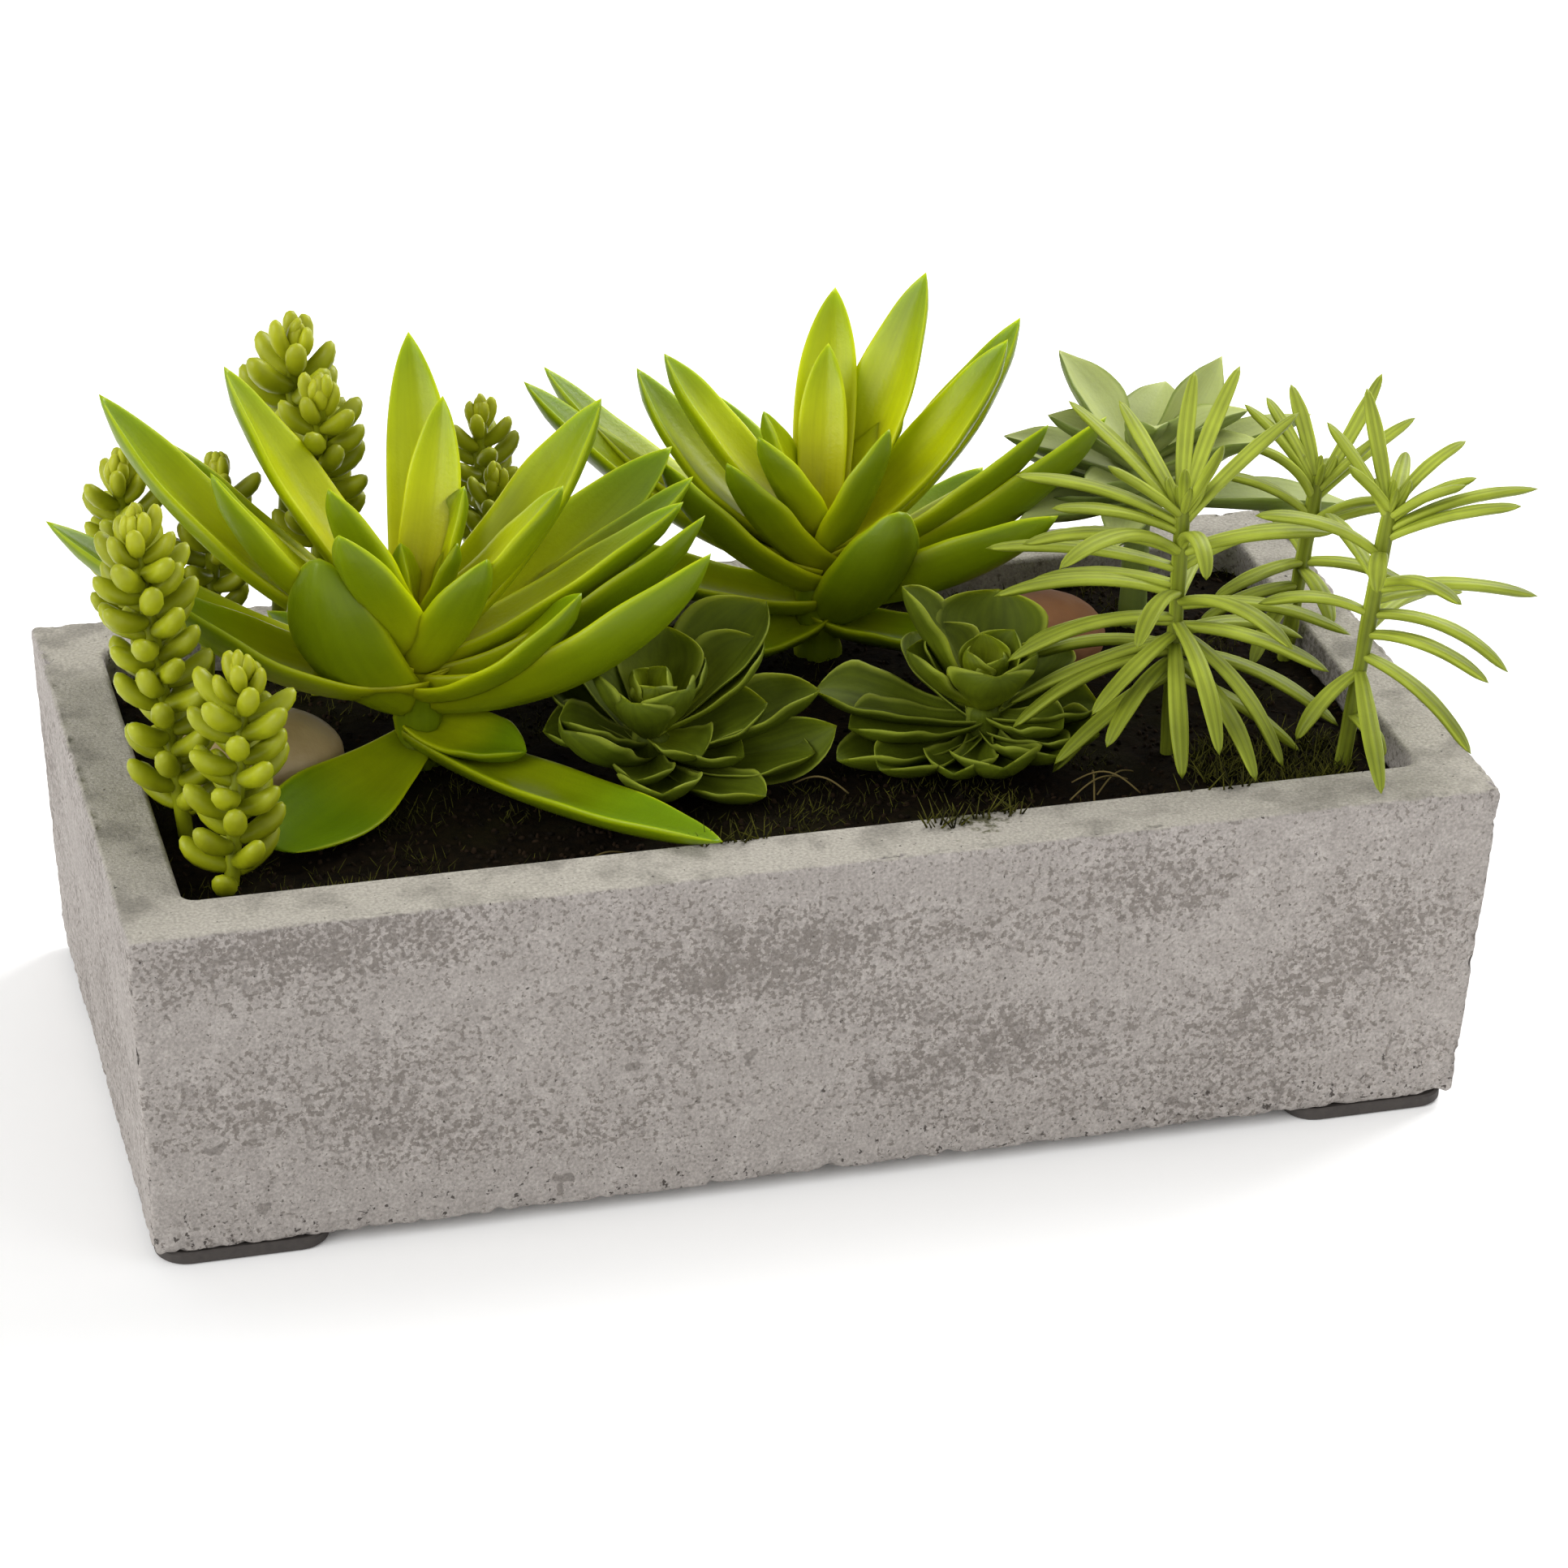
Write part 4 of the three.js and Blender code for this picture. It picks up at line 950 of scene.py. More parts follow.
ECHEVERIA_RIGHT = {
    "form": "petal", "stem": 4, "foot": [50, -18], "top": [50, -18, 90],
    "sunk": 3, "bud": [6, 11, 0.62, 5],
    "leaves": [
        [138, 51, 34, 19, 25, 85, 25], [66, 42, 31, 26, 20, 84], [120, 40, 23, 18, 30, 86],
        [165, 38, 23, 18, 35, 86], [262, 46, 21, 20, 40, 86], [30, 60, 19, 15, 30, 86],
        [325, 52, 20, 16, 30, 86], [172, 14, 40, 20, 25, 82], [188, 8, 34, 20, 30, 82],
        [199, 5, 41, 17, 40, 80], [213, 6, 37, 17, 45, 80], [262, 11, 31, 21, 70, 80],
        [295, 7, 27, 18, 60, 81], [322, 10, 29, 18, 40, 80], [346, 8, 27, 20, 30, 83],
        [310, 8, 22, 15, 45, 84], [240, 7, 30, 17, 55, 80], [108, 22, 30, 21, 20, 82],
        [36, 18, 30, 21, 20, 83], [80, 70, 15, 12, 20, 88], [195, 70, 14, 11, 20, 88],
        [310, 68, 13, 11, 20, 88],
    ],
}

GREY_SUCCULENT = {
    "form": "hooked", "stem": 3.2, "foot": [104, 36], "top": [104, 36, 120],
    "sunk": 2, "bud": [3, 10, 0.5, 3],
    "leaves": [
        [130, 43, 33, 16.5, 12, 117], [30, 34, 33, 12, 15, 118, 50], [262, 46, 22, 11, -50, 117],
        [160, 30, 26, 14, -15, 115], [155, 15, 34, 14, -15, 112], [176, 6, 28, 13, -15, 107],
        [195, 4, 34, 13, -10, 107], [215, 20, 24, 12, -15, 110], [300, 50, 20, 10, 0, 118],
        [350, 28, 28, 13.5, -15, 117], [10, 27, 26, 13, -15, 116], [335, 22, 30, 13, -15, 114],
        [0, 18, 44, 13, -5, 112], [350, -4, 56, 15, -15, 107], [60, 25, 30, 15, -15, 114],
        [100, 22, 32, 15, -15, 112], [135, 8, 34, 14, -15, 108], [75, 2, 34, 14, -15, 106],
        [30, 4, 36, 14, -15, 108], [240, 2, 26, 12, -15, 106],
    ],
}

NEEDLE_STEM_FRONT = {
    "form": "needle", "stem": 1.8, "foot": [91, -28], "top": [91, -28, 137],
    "bud": [5, 11, 0.3, 4],
    "leaves": [
        [135, 35, 36, 4.5, -10, 134], [115, 41, 29, 4.5, -5, 135], [68, 39, 36, 4.5, 0, 134],
        [50, 36, 40, 4.5, -5, 134], [300, 62, 22, 4.1, 0, 135], [250, 70, 13, 3.3, 0, 135],
        [10, 38, 36, 4.9, -15, 132], [190, 38, 25, 4.5, -10, 134], [160, 14, 39, 4.9, -20, 132],
        [175, 14, 31, 4.5, -20, 130], [170, 4, 37, 4.9, -40, 125], [158, 2, 44, 4.9, -25, 121],
        [205, 10, 40, 5.3, -50, 125], [272, -2, 22, 4.9, -110, 126], [232, -4, 28, 4.9, -40, 115],
        [345, 9, 35, 5.3, -25, 125], [160, -5, 42, 4.9, -30, 115], [148, -7, 34, 4.9, -20, 117],
        [180, -10, 41, 4.9, -35, 109], [165, -11, 35, 4.9, -25, 108], [185, -20, 42, 4.9, -30, 101],
        [173, -22, 41, 4.9, -20, 104], [215, -17, 32, 4.9, -25, 105], [225, -15, 34, 4.9, -25, 99],
        [205, -20, 38, 4.9, -20, 96], [257, -36, 36, 4.9, -40, 103], [270, -28, 38, 4.9, -35, 108],
        [283, -22, 40, 4.9, -35, 99], [303, -36, 41, 4.9, -35, 106], [300, 0, 35, 4.9, -40, 113],
        [325, -8, 37, 5.3, -30, 107], [20, 2, 36, 4.9, -30, 121], [60, -4, 34, 4.9, -30, 113],
        [350, -12, 42, 4.9, -30, 112], [335, -22, 42, 4.9, -30, 101], [15, -15, 38, 4.9, -30, 105],
        [140, -18, 38, 4.9, -25, 102], [192, -32, 36, 4.9, -25, 95], [342, -32, 36, 4.9, -25, 95],
    ],
}

NEEDLE_STEM_RIGHT = {
    "form": "needle", "stem": 1.8, "foot": [127, -44], "top": [134, -43, 140],
    "bud": [4, 10, 0.3, 4],
    "leaves": [
        [100, 62, 28, 4.5, 0, 137], [150, 54, 26, 4.5, -15, 136], [200, 46, 19, 4.5, -10, 138],
        [20, 30, 25, 4.1, -25, 137], [350, 28, 22, 4.1, -20, 135], [318, 34, 21, 4.1, -20, 136],
        [345, 18, 35, 4.5, -25, 133], [330, 22, 32, 4.5, -20, 131], [246, -10, 16, 4.9, -60, 127],
        [345, -2, 37, 4.9, -25, 119], [300, 8, 25, 4.5, -40, 120], [335, -20, 35, 4.9, -40, 113],
        [318, -10, 31, 4.9, -40, 108], [308, -28, 34, 4.9, -30, 103], [15, -8, 26, 4.5, -25, 116],
        [258, -18, 39, 4.9, -25, 99], [200, -36, 22, 4.9, -30, 99], [165, 4, 26, 4.5, -35, 113],
        [172, 20, 32, 4.9, -35, 127], [280, -14, 16, 4.9, -50, 88], [60, 20, 30, 4.5, -25, 130],
        [92, 6, 30, 4.5, -25, 121], [40, -4, 30, 4.9, -25, 109],
    ],
}

NEEDLE_STEM_BACK = {
    "form": "needle", "stem": 1.8, "foot": [134, 12], "top": [138, 10, 122],
    "bud": [4, 10, 0.3, 4],
    "leaves": [
        [130, 52, 24, 4.5, -15, 119], [152, 48, 27, 4.5, -20, 118], [100, 53, 24, 4.5, -5, 120],
        [30, 47, 32, 4.5, 10, 118], [10, 32, 31, 4.5, -20, 116], [340, 48, 20, 4.1, -5, 118],
        [182, 42, 24, 4.5, -40, 116], [172, 26, 26, 4.5, -30, 112], [312, 30, 22, 4.5, -25, 110],
        [340, 20, 24, 4.5, -25, 108], [200, -6, 27, 4.9, -25, 100], [268, -8, 24, 4.9, -25, 98],
        [228, -16, 28, 4.9, -25, 92], [185, -14, 26, 4.9, -25, 94], [330, -6, 26, 4.9, -25, 100],
        [60, 12, 28, 4.5, -25, 109], [92, -2, 28, 4.9, -25, 102],
    ],
}

# Waves of ridge and groove across a leaf's width
GROOVE_WAVES = 2.5


def leaf_material(
    name, heart, blade, tip, edge, under, roughness, gloss, streaks, bloom=0.0,
    ageing=0.55, ripening=1.0, rim_width=0.1, rim_share=0.8, grooves=0.0, glow=0.12,
):
    """A moulded leaf. Its colour runs from heart to blade to tip, and darkens on the back and the
    lowest leaves, partly as painted shade.

    ageing and ripening are how fast it leaves the heart's colour from leaf to leaf and along
    one leaf. rim_width is the share of half the leaf's width that the edge's colour takes.
    """
    material, put = new_material(name)
    place = put("TexCoord").outputs["Object"]
    (along, across, upper), (age, chance, _) = (
        put("SeparateXYZ", [put("Attribute", attribute_name=label).outputs["Vector"]]).outputs
        for label in ("blade", "growth")
    )
    ripening_along = put("Math", [along, ripening], operation="MULTIPLY")
    ripe = put("Math", [age, ageing, ripening_along], operation="MULTIPLY_ADD")
    grown_up = put("MapRange", [ripe, 0.1, 0.75], interpolation_type="SMOOTHSTEP")
    # The lowest leaves have the back's dark colour on their faces too: partly their own deeper green,
    # partly painted shade under the plant's higher leaves.
    low_leaf_green_and_shade = put("MapRange", [age, 0.7, 1.0, 0.0, 0.7])
    # The tip's colour runs further down the older leaves.
    older = put("Math", [age, 0.55, 0.75], operation="MULTIPLY_ADD")
    outer = put("Math", [older, along], operation="MULTIPLY")
    at_tip = put("MapRange", [outer, 0.4, 0.95, 0.0, 0.85], interpolation_type="SMOOTHSTEP")
    # The back is darker, and more so on the outer leaves: partly a greener underside, partly painted
    # shade.
    behind = put("MapRange", [upper, 0.25, -0.6, 0.0, 1.0])
    outward = put("MapRange", [ripe, 0.2, 1.0, 0.15, 0.9])
    back = put("Math", [behind, outward], operation="MULTIPLY")
    rim = put("Math", [across], operation="ABSOLUTE")
    at_edge = put("MapRange", [rim, 1 - rim_width, 1 - rim_width / 3, 0.0, rim_share])
    tone = layered(
        put, heart, (grown_up, blade), (low_leaf_green_and_shade, under), (at_tip, tip), (back, under), (at_edge, edge)
    )
    # Streaks run along the leaf, about 1 mm apart.
    lane = put(
        "CombineXYZ",
        [
            put("Math", [value, stretch], operation="MULTIPLY")
            for value, stretch in ((along, 1.6), (across, 5.0), (chance, 90.0))
        ],
    )
    streak = put("TexNoise", {"Vector": lane, "Scale": 1.6, "Detail": 4.0})
    blotch = put("TexNoise", {"Vector": place, "Scale": 110.0, "Detail": 3.0})
    both = put("Math", [streak, blotch], operation="ADD")
    shade = put("MapRange", [both, 0.7, 1.3, 1 - streaks, 1 + streaks])
    # Two grooves run along a leaf; the darkening where they are deepest is painted shade.
    waves = put("Math", [across, GROOVE_WAVES * math.pi], operation="MULTIPLY")
    ridge = put("Math", [waves], operation="COSINE")
    streaked_and_groove_shaded = put("Math", [ridge, grooves, shade], operation="MULTIPLY_ADD")
    toned = put("VectorMath", {0: tone, "Scale": streaked_and_groove_shaded}, operation="SCALE")
    # A powdery bloom whitens the face where it isn't rubbed off.
    rubbed = put("TexNoise", {"Vector": place, "Scale": 260.0, "Detail": 6.0})
    powder = put("MapRange", [rubbed, 0.35, 0.75, 0.0, bloom])
    pores = put("TexNoise", {"Vector": place, "Scale": 1100.0, "Detail": 2.0})
    relief = put("Math", [ridge, grooves * 4, pores], operation="MULTIPLY_ADD")
    surface = {
        "Base Color": layered(put, toned, (powder, "#98A07A")), "Roughness": roughness,
        "Specular IOR Level": gloss, "Subsurface Weight": glow,
        "Subsurface Radius": (0.9, 1.0, 0.1), "Subsurface Scale": 0.005,
    }
    return finished(material, put, surface, relief, strength=0.2, depth=0.4)


# Stonecrop: eight stems set with plump beads. A row is [foot, top, height of the first bead,
# turn of the first bead, scale].
STONECROP_STEM_RADIUS = 1.8
STONECROP_STEMS = [
    [(-131, -19), (-139, -13, 151), 81, 0, 1.0],
    [(-125, -42), (-119, -33, 125), 75.8, 250, 1.0],
    [(-91, 43), (-89, 40, 154), 112, 20, 1.0],
    [(-99, 54), (-91, 57, 160), 134, 200, 1.15],
    [(-50, 53), (-49, 59, 138), 100, 100, 0.85],
    [(-46, 36), (-51, 37, 131), 100, 260, 0.8],
    [(-116, 48), (-111, 50, 134), 90, 300, 0.9],
    [(-130, 48), (-134, 50, 136), 92, 140, 0.9],
]
# The length of the head of young beads, and the last bead's depth below the stem's top
BEAD_HEAD = 9
LAST_BEAD_DROP = 4.6
BEAD_SEGMENTS = 10
BEAD_RINGS = 8


def stonecrop_tree(material):
    """Beads round a stem by the golden angle, small and upright at the top, on the stem itself."""
    tree, put, given = new_tree(
        "stonecrop stem",
        ("Foot", "Vector"), ("First", "Vector"), ("Top", "Vector"), ("Stem Radius", "Float"),
        ("Count", "Int"), ("Turn", "Float"), ("Head Share", "Float"), ("Bead Length", "Float"),
        ("Bead Width", "Float"), ("Seed", "Int"),
    )
    line = put("GeometryNodeCurvePrimitiveLine", {"Start": given["Foot"], "End": given["Top"]})
    ring = put("GeometryNodeCurvePrimitiveCircle", {"Resolution": 8, "Radius": given["Stem Radius"]})
    stem = put(
        "GeometryNodeCurveToMesh", {"Curve": line, "Profile Curve": ring, "Fill Caps": True}
    )
    # One bead lies along +X from its foot at the origin, blunt at both ends and bent upwards.
    ball = put(
        "GeometryNodeMeshUVSphere", {"Segments": BEAD_SEGMENTS, "Rings": BEAD_RINGS, "Radius": 0.5}
    )
    upright = put("GeometryNodeTransform", {"Geometry": ball, "Rotation": (0.0, math.pi / 2, 0.0)})
    x, y, z = put("SeparateXYZ", [put("GeometryNodeInputPosition")]).outputs
    forward = put("Math", [x, 0.5], operation="ADD")
    # The ball is fattened towards both ends, into a capsule, and its foot is narrowed again.
    from_middle = put("Math", [x, 2.0], operation="MULTIPLY")
    squarish = put("Math", [from_middle, from_middle, 1.0], operation="MULTIPLY_ADD")
    blunt = put("Math", [squarish], operation="SQRT")
    foot = put("MapRange", [forward, 0.0, 0.6, 0.6, 1.0])
    plump = put("Math", [blunt, foot], operation="MULTIPLY")
    broad, high = (put("Math", [axis, plump], operation="MULTIPLY") for axis in (y, z))
    squared = put("Math", [forward, 2.0], operation="POWER")
    lifted = put("Math", [squared, 0.8, high], operation="MULTIPLY_ADD")
    bent = put("CombineXYZ", [forward, broad, lifted])
    bead = put("GeometryNodeSetPosition", {"Geometry": upright, "Position": bent})
    mark = {"Geometry": bead, "Name": "along", "Value": forward}
    marked = put(MARK, mark, data_type="FLOAT", domain="POINT")
    # Points climb the stem, one a bead. They stand closer together towards the top.
    points = put("GeometryNodePoints", {"Count": given["Count"]})
    index = put("GeometryNodeInputIndex")
    last = put("Math", [given["Count"], 1.0], operation="SUBTRACT")
    order = put("Math", [index, last], operation="DIVIDE")
    above = put("Math", [1.0, order], operation="SUBTRACT")
    drop = put("Math", [above, 1.4], operation="POWER")
    share = put("Math", [1.0, drop], operation="SUBTRACT")
    between = {MIX_FACTOR: share, FIRST_VECTOR: given["First"], SECOND_VECTOR: given["Top"]}
    climb = put("Mix", between, data_type="VECTOR")
    climbing = put("GeometryNodeSetPosition", {"Geometry": points, "Position": climb})
    # In the head, a bead's youth runs from 0 at the head's foot to 1 at the top.
    head_foot = put("Math", [1.0, given["Head Share"]], operation="SUBTRACT")
    youth = put("MapRange", [share, head_foot, 1.0])
    least, most = (-0.16, -0.14, -0.14), (0.16, 0.14, 0.14)
    wobble = put(RANDOM, {0: least, 1: most, "Seed": given["Seed"]}, data_type="FLOAT_VECTOR")
    nod, sway, growth = put("SeparateXYZ", [wobble]).outputs
    rise, grown_share, wide = (
        put("MapRange", [youth, 0.0, 1.0, full_grown, young])
        for full_grown, young in ((math.radians(-12), math.radians(-64)), (1.0, 0.42), (1.0, 0.55))
    )
    tilt = put("Math", [rise, nod], operation="ADD")
    spiral = put("Math", [index, math.radians(GOLDEN_ANGLE), given["Turn"]], operation="MULTIPLY_ADD")
    turned = put("Math", [spiral, sway], operation="ADD")
    varied = put("Math", [grown_share, growth], operation="ADD")
    long_way = put("Math", [varied, given["Bead Length"]], operation="MULTIPLY")
    wide_way = put("Math", [wide, given["Bead Width"]], operation="MULTIPLY")
    beads = put(
        "GeometryNodeInstanceOnPoints",
        {
            "Points": climbing, "Instance": marked,
            "Rotation": put("CombineXYZ", {1: tilt, 2: turned}),
            "Scale": put("CombineXYZ", [long_way, wide_way, wide_way]),
        },
    )
    chance = put(RANDOM, {"Seed": given["Seed"]}, data_type="FLOAT")
    for name, value in (("youth", youth), ("tint", chance)):
        mark = {"Geometry": beads, "Name": name, "Value": value}
        beads = put(MARK, mark, data_type="FLOAT", domain="INSTANCE")
    joined = put("GeometryNodeJoinGeometry", [beads])
    tree.links.new(stem.outputs[0], joined.inputs[0])
    end_tree(put, joined, material)
    return tree


def stonecrops(settings):
    """The stems of stonecrop, each grown by the same geometry tree."""
    material = stonecrop_material(settings)
    tree = stonecrop_tree(material)
    for number, (foot, top, first, turn, scale) in enumerate(STONECROP_STEMS, 1):
        name = f"stonecrop_stem_{number}"
        last = top[2] - LAST_BEAD_DROP
        levels = {"Foot": SOIL_LEVEL - ROOT_DEPTH, "First": first, "Top": last}
        plant = {"foot": foot, "top": top}
        values = {label: tuple(placed(stem_point(plant, z))) for label, z in levels.items()}
        values |= {
            "Stem Radius": STONECROP_STEM_RADIUS * MM,
            "Count": round((last - first) * MM / settings.pitch),
            "Turn": math.radians(turn),
            "Head Share": min(0.9, BEAD_HEAD / (last - first)),
            "Bead Length": settings.bead_length * scale,
            "Bead Width": settings.bead_width * scale,
            "Seed": RANDOM_SEED + number,
        }
        mesh = grown(name, bpy.data.meshes.new(name), tree, values)
        new_piece(name + "_beads", mesh, material, "stonecrop", name)


def stonecrop_material(settings):
    """Moulded stonecrop: soft, waxy yellow-green plastic, paler on the young beads."""
    material, put = new_material("waxy stonecrop plastic")
    place = put("TexCoord").outputs["Object"]
    along, youth, tint = (
        put("Attribute", attribute_name=label).outputs["Fac"] for label in ("along", "youth", "tint")
    )
    paler = put("Math", [along, 0.35, youth], operation="MULTIPLY_ADD")
    tone = layered(put, settings.bead, (paler, settings.young))
    blotch = put("TexNoise", {"Vector": place, "Scale": 300.0, "Detail": 3.0})
    mixed = put("Math", [tint, 0.5, blotch], operation="MULTIPLY_ADD")
    shade = put("MapRange", [mixed, 0.3, 1.2, 0.8, 1.15])
    toned = put("VectorMath", {0: tone, "Scale": shade}, operation="SCALE")
    pores = put("TexNoise", {"Vector": place, "Scale": 900.0, "Detail": 2.0})
    surface = {
        "Base Color": toned, "Roughness": 0.42, "Specular IOR Level": 0.3, "Subsurface Weight": 0.15,
        "Subsurface Radius": (0.7, 1.0, 0.15), "Subsurface Scale": 0.002,
    }
    return finished(material, put, surface, pores, strength=0.15, depth=0.3)


# Stage. The lamps face a point among the plants, in metres.

LAMP_TARGET = (0, 0, 0.08)
FLOOR_REACH = 6


def camera():
    """The camera that saw the photograph, turned, dipped and rolled about its own place."""
    yaw, dip, roll = (math.radians(a) for a in (CAMERA_TURN, CAMERA_DIP, CAMERA_ROLL))
    forward = Vector((math.sin(yaw) * math.cos(dip), math.cos(yaw) * math.cos(dip), -math.sin(dip)))
    right = Vector((math.cos(yaw), -math.sin(yaw), 0))
    down = forward.cross(right)
    across = right * math.cos(roll) + down * math.sin(roll)
    below = down * math.cos(roll) - right * math.sin(roll)
    turn = Matrix((across, -below, -forward)).transposed().to_4x4()
    data = bpy.data.cameras.new("camera")
    data.sensor_width = SENSOR_WIDTH
    data.lens = SENSOR_WIDTH * FOCAL_PIXELS / PHOTO_PIXELS
    data.clip_end = SIGHT_METRES
    eye = bpy.data.objects.new("camera", data)
    bpy.context.scene.collection.objects.link(eye)
    eye.matrix_world = Matrix.Translation(placed(CAMERA_PLACE)) @ turn
    bpy.context.scene.camera = eye


def lamp(name, kind, place, strength, spread):
    """A lamp that faces the plants. Its spread is a sun's angle or a softbox's width."""
    data = bpy.data.lights.new(name, kind)
    data.energy = strength
    if kind == "SUN":
        data.angle = spread
    else:
        data.size = spread
    light = bpy.data.objects.new(name, data)
    bpy.context.scene.collection.objects.link(light)
    light.location = place
    light.rotation_euler = (Vector(LAMP_TARGET) - Vector(place)).to_track_quat("-Z", "Y").to_euler()


def stage(settings):
    """The floor, the light all round and the lamps."""
    mesh = bpy.data.meshes.new("floor")
    corners = [(x * FLOOR_REACH, y * FLOOR_REACH, 0) for x, y in ((-1, -1), (1, -1), (1, 1), (-1, 1))]
    mesh.from_pydata(corners, [], [(0, 1, 2, 3)])
    floor = bpy.data.objects.new("floor", mesh)
    bpy.context.scene.collection.objects.link(floor)
    material, put = new_material("matt floor paint")
    drift = put("TexNoise", {"Vector": put("TexCoord").outputs["Object"], "Scale": 2.0})
    tone = layered(put, settings.floor, (drift, "#FCFCFB"))
    mesh.materials.append(finished(material, put, {"Base Color": tone, "Roughness": 0.8}))
    world = bpy.data.worlds.new("studio")
    world.use_nodes = True
    world.node_tree.nodes.clear()
    sky = add(world.node_tree, "Background", {"Color": "#FFFFFF", "Strength": settings.sky})
    add(world.node_tree, "OutputWorld", {"Surface": sky})
    bpy.context.scene.world = world
    bpy.context.scene.view_settings.view_transform = "Standard"
    lamp("key light", "SUN", (-1.55, -0.5, 0.9), settings.key, math.radians(45))
    lamp("fill light", "AREA", (1.2, -1.2, 0.9), settings.fill, 0.9)
    lamp("back light", "AREA", (0.95, 0.6, 1.1), settings.back, 0.9)


# Operators


class GARDEN_OT_trough(bpy.types.Operator):
    """Make the concrete trough, worn along its edges"""

    bl_idname = "dish_garden.trough"
    bl_label = "Concrete Trough"

    def execute(self, context):
        trough_body(context.scene.dish_garden_trough)
        return {"FINISHED"}


class GARDEN_OT_pads(bpy.types.Operator):
    """Make the rubber pads under the trough"""

    bl_idname = "dish_garden.pads"
    bl_label = "Rubber Pads"

    def execute(self, context):
        rubber = moulded_rubber()
        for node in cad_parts:
            if node.startswith("foot_pad"):
                foot_pad(node, rubber)
        return {"FINISHED"}


class GARDEN_OT_soil(bpy.types.Operator):
    """Make the soil with its crumbs and moss"""

    bl_idname = "dish_garden.soil"
    bl_label = "Soil"

    def execute(self, context):
        settings = context.scene.dish_garden_soil
        soil_litter(soil_bed(settings), settings)
        return {"FINISHED"}


class GARDEN_OT_stones(bpy.types.Operator):
    """Make the stones that lie on the soil"""

    bl_idname = "dish_garden.stones"
    bl_label = "Stones"

    def execute(self, context):
        # A tumbled river pebble is smooth and slightly glossy; the red stone is rough.
        pebble = stone_material("tumbled pebble", "#B6A276", "#82683A", 0.5)
        stone("stone_cream", "cream_pebble", pebble, "stone_cream", 0.25 * MM)
        red = stone_material("rough terracotta stone", "#A8754C", "#74482A", 0.75)
        stone("stone_terracotta", "terracotta_stone", red, "stone_terracotta", 0.6 * MM)
        return {"FINISHED"}


class GARDEN_OT_lance_rosettes(bpy.types.Operator):
    """Make the two large rosettes of lance leaves"""

    bl_idname = "dish_garden.lance_rosettes"
    bl_label = "Lance Rosettes"

    def execute(self, context):
        s = context.scene.dish_garden_leaves
        # Soft vinyl with a waxy skin: satin, yellow-green at the heart, greener to the tips.
        # The back colour on the undersides and the lowest leaves is partly painted shade.
        waxy = leaf_material(
            "waxy lime vinyl", s.lance_heart, s.lance_blade, s.lance_tip, s.lance_blade, s.lance_back_and_shade,
            roughness=0.36, gloss=0.2, streaks=0.08, ageing=0.7, rim_share=0.3, glow=0.55,
        )
        leafy_plant("lance_rosette_left", LANCE_ROSETTE_LEFT, waxy, "lance")
        leafy_plant("lance_rosette_right", LANCE_ROSETTE_RIGHT, waxy, "lance")
        return {"FINISHED"}


class GARDEN_OT_echeverias(bpy.types.Operator):
    """Make the two low dark rosettes"""

    bl_idname = "dish_garden.echeverias"
    bl_label = "Echeverias"

    def execute(self, context):
        s = context.scene.dish_garden_leaves
        # Flocked vinyl: matt dark green with a grey bloom and a thin pale edge.
        flocked = leaf_material(
            "flocked green vinyl", s.echeveria_heart, s.echeveria_blade, s.echeveria_blade,
            s.echeveria_edge, s.echeveria_blade, roughness=0.6, gloss=0.1, streaks=0.25,
            ageing=1.0, ripening=0.4, rim_width=0.14, rim_share=0.45,
        )
        leafy_plant("echeveria_left", ECHEVERIA_LEFT, flocked, "echeveria")
        leafy_plant("echeveria_right", ECHEVERIA_RIGHT, flocked, "echeveria")
        return {"FINISHED"}


class GARDEN_OT_grey_succulent(bpy.types.Operator):
    """Make the grey succulent with hooked leaves"""

    bl_idname = "dish_garden.grey_succulent"
    bl_label = "Grey Succulent"

    def execute(self, context):
        s = context.scene.dish_garden_leaves
        # Powdered vinyl: a dry sage face, with greener edges where the powder has rubbed off.
        # The edge colour on the undersides and the lowest leaves is partly painted shade.
        powdered = leaf_material(
            "powdered sage vinyl", s.sage, s.sage, s.sage, s.sage_edge, s.sage_edge,
            roughness=0.6, gloss=0.3, streaks=0.1, bloom=0.1, rim_width=0.16,
        )
        leafy_plant("grey_succulent", GREY_SUCCULENT, powdered, "sage")
        return {"FINISHED"}


class GARDEN_OT_needle_stems(bpy.types.Operator):
    """Make the three stems of needle leaves"""

    bl_idname = "dish_garden.needle_stems"
    bl_label = "Needle Stems"

    def execute(self, context):
        s = context.scene.dish_garden_leaves
        # Satin plastic with grooves along each leaf, with painted shade in the grooves.
        # The stripe colour on the undersides and the lowest leaves is partly painted shade.
        satin = leaf_material(
            "grooved satin plastic", s.needle, s.needle, s.needle_stripe, s.needle,
            s.needle_stripe, roughness=0.5, gloss=0.2, streaks=0.2, grooves=0.16,
        )
        leafy_plant("needle_stem_front", NEEDLE_STEM_FRONT, satin, "needle")
        leafy_plant("needle_stem_right", NEEDLE_STEM_RIGHT, satin, "needle")
        leafy_plant("needle_stem_back", NEEDLE_STEM_BACK, satin, "needle")
        return {"FINISHED"}


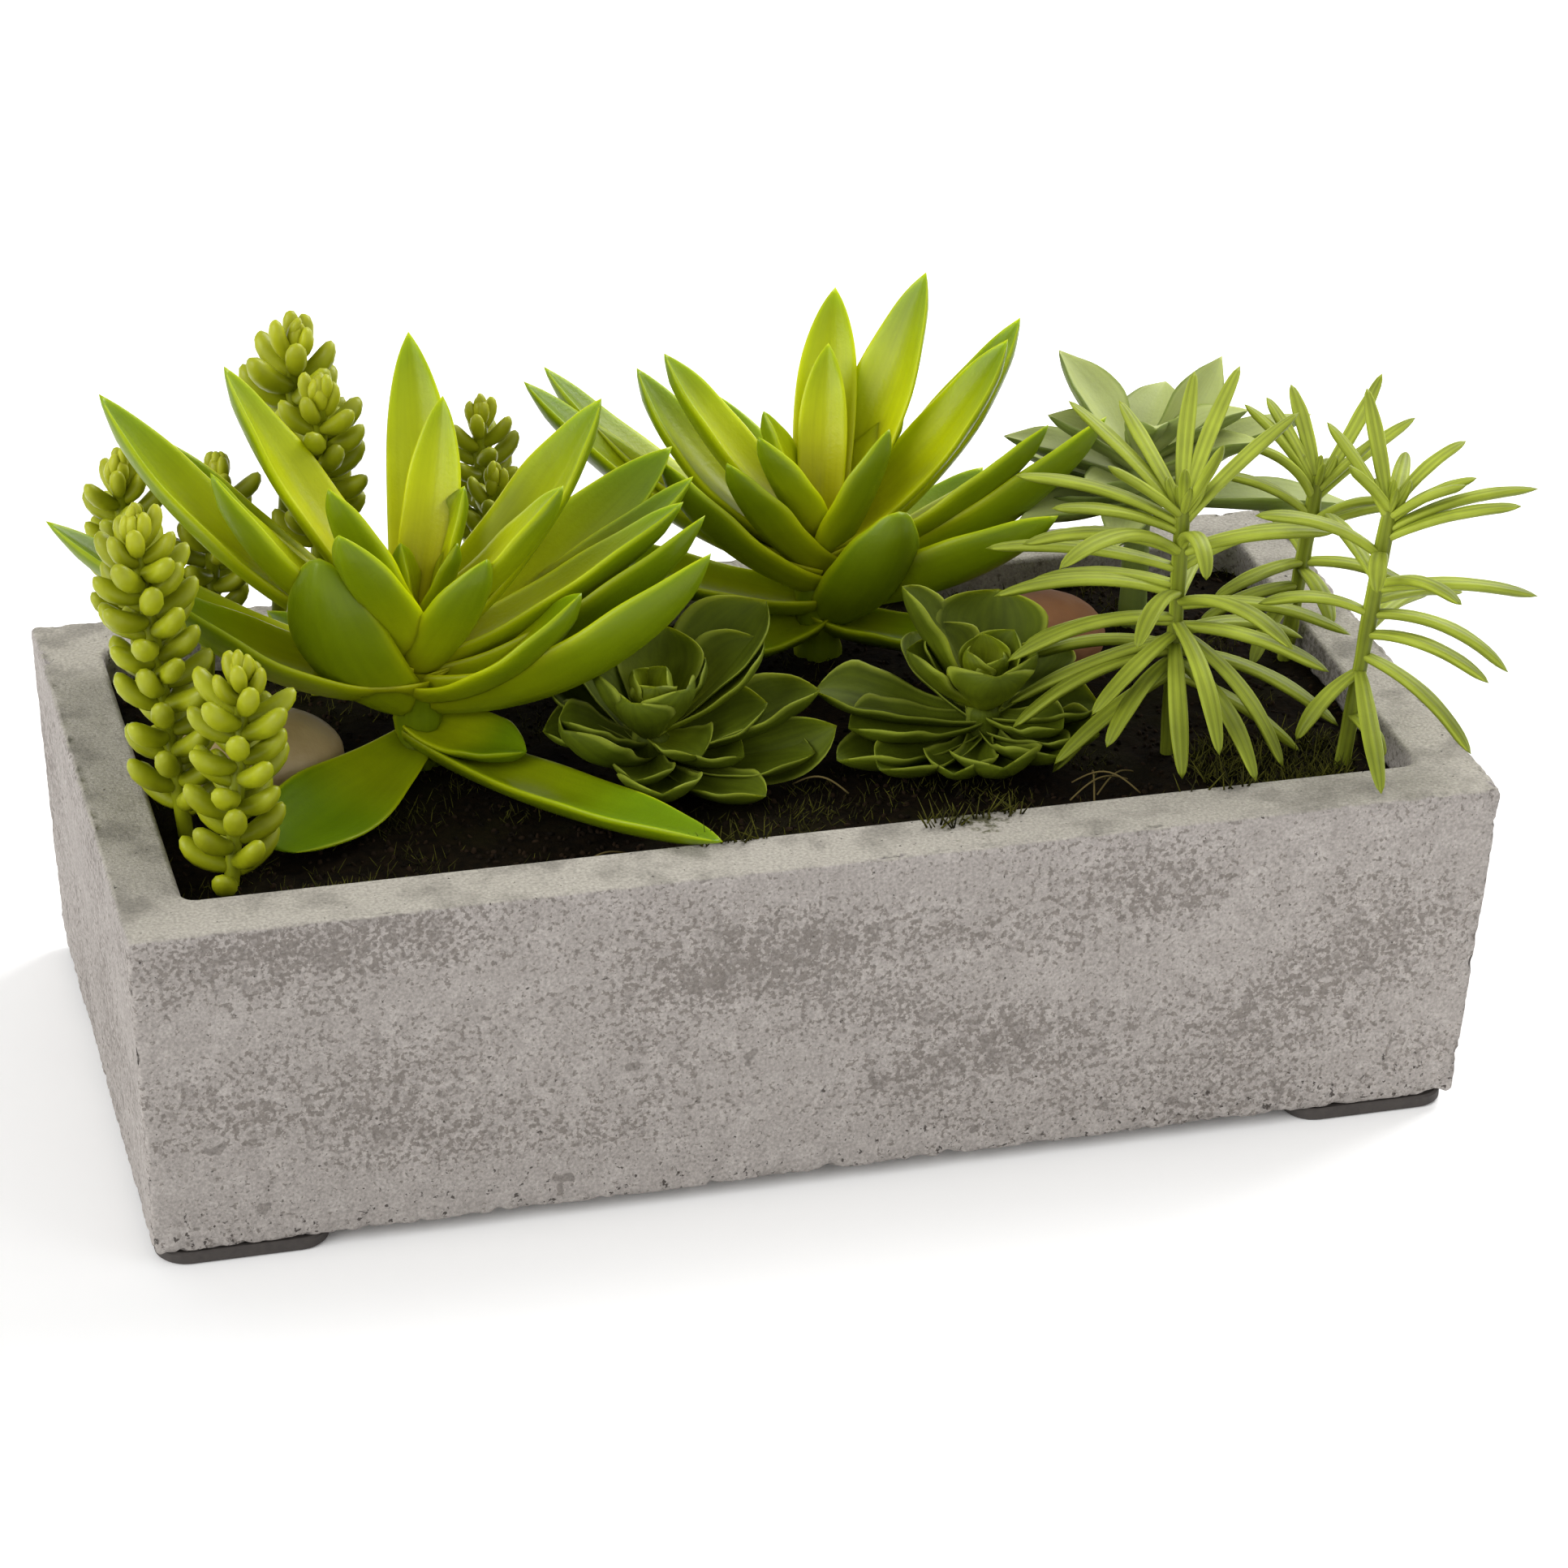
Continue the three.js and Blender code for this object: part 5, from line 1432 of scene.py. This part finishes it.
class GARDEN_OT_stonecrops(bpy.types.Operator):
    """Make the eight stems of stonecrop beads"""

    bl_idname = "dish_garden.stonecrops"
    bl_label = "Stonecrops"

    def execute(self, context):
        stonecrops(context.scene.dish_garden_stonecrop)
        return {"FINISHED"}


class GARDEN_OT_stage(bpy.types.Operator):
    """Make the floor, the lights and the camera"""

    bl_idname = "dish_garden.stage"
    bl_label = "Stage"

    def execute(self, context):
        camera()
        stage(context.scene.dish_garden_stage)
        return {"FINISHED"}


OPERATORS = (
    GARDEN_OT_stage,
    GARDEN_OT_trough,
    GARDEN_OT_pads,
    GARDEN_OT_soil,
    GARDEN_OT_stones,
    GARDEN_OT_lance_rosettes,
    GARDEN_OT_echeverias,
    GARDEN_OT_grey_succulent,
    GARDEN_OT_needle_stems,
    GARDEN_OT_stonecrops,
)
SETTINGS = {
    "dish_garden_trough": TroughSettings,
    "dish_garden_soil": SoilSettings,
    "dish_garden_leaves": LeafSettings,
    "dish_garden_stonecrop": StonecropSettings,
    "dish_garden_stage": StageSettings,
}


class GARDEN_PT_panel(bpy.types.Panel):
    """Sizes, colours and makers of the dish garden"""

    bl_idname = "GARDEN_PT_panel"
    bl_label = "Dish Garden"
    bl_space_type = "VIEW_3D"
    bl_region_type = "UI"
    bl_category = "Dish Garden"

    def draw(self, context):
        for name, group in SETTINGS.items():
            box = self.layout.box()
            for label in group.__annotations__:
                box.prop(getattr(context.scene, name), label)
        for operator in OPERATORS:
            self.layout.operator(operator.bl_idname)


def register():
    for group in SETTINGS.values():
        bpy.utils.register_class(group)
    for name, group in SETTINGS.items():
        setattr(bpy.types.Scene, name, PointerProperty(type=group))
    for operator in (*OPERATORS, GARDEN_PT_panel):
        bpy.utils.register_class(operator)


def unregister():
    for operator in (*OPERATORS, GARDEN_PT_panel):
        bpy.utils.unregister_class(operator)
    for name, group in SETTINGS.items():
        delattr(bpy.types.Scene, name)
        bpy.utils.unregister_class(group)


def main():
    register()
    for operator in OPERATORS:
        getattr(bpy.ops.dish_garden, operator.bl_idname.split(".")[1])()


if __name__ == "__main__":
    main()
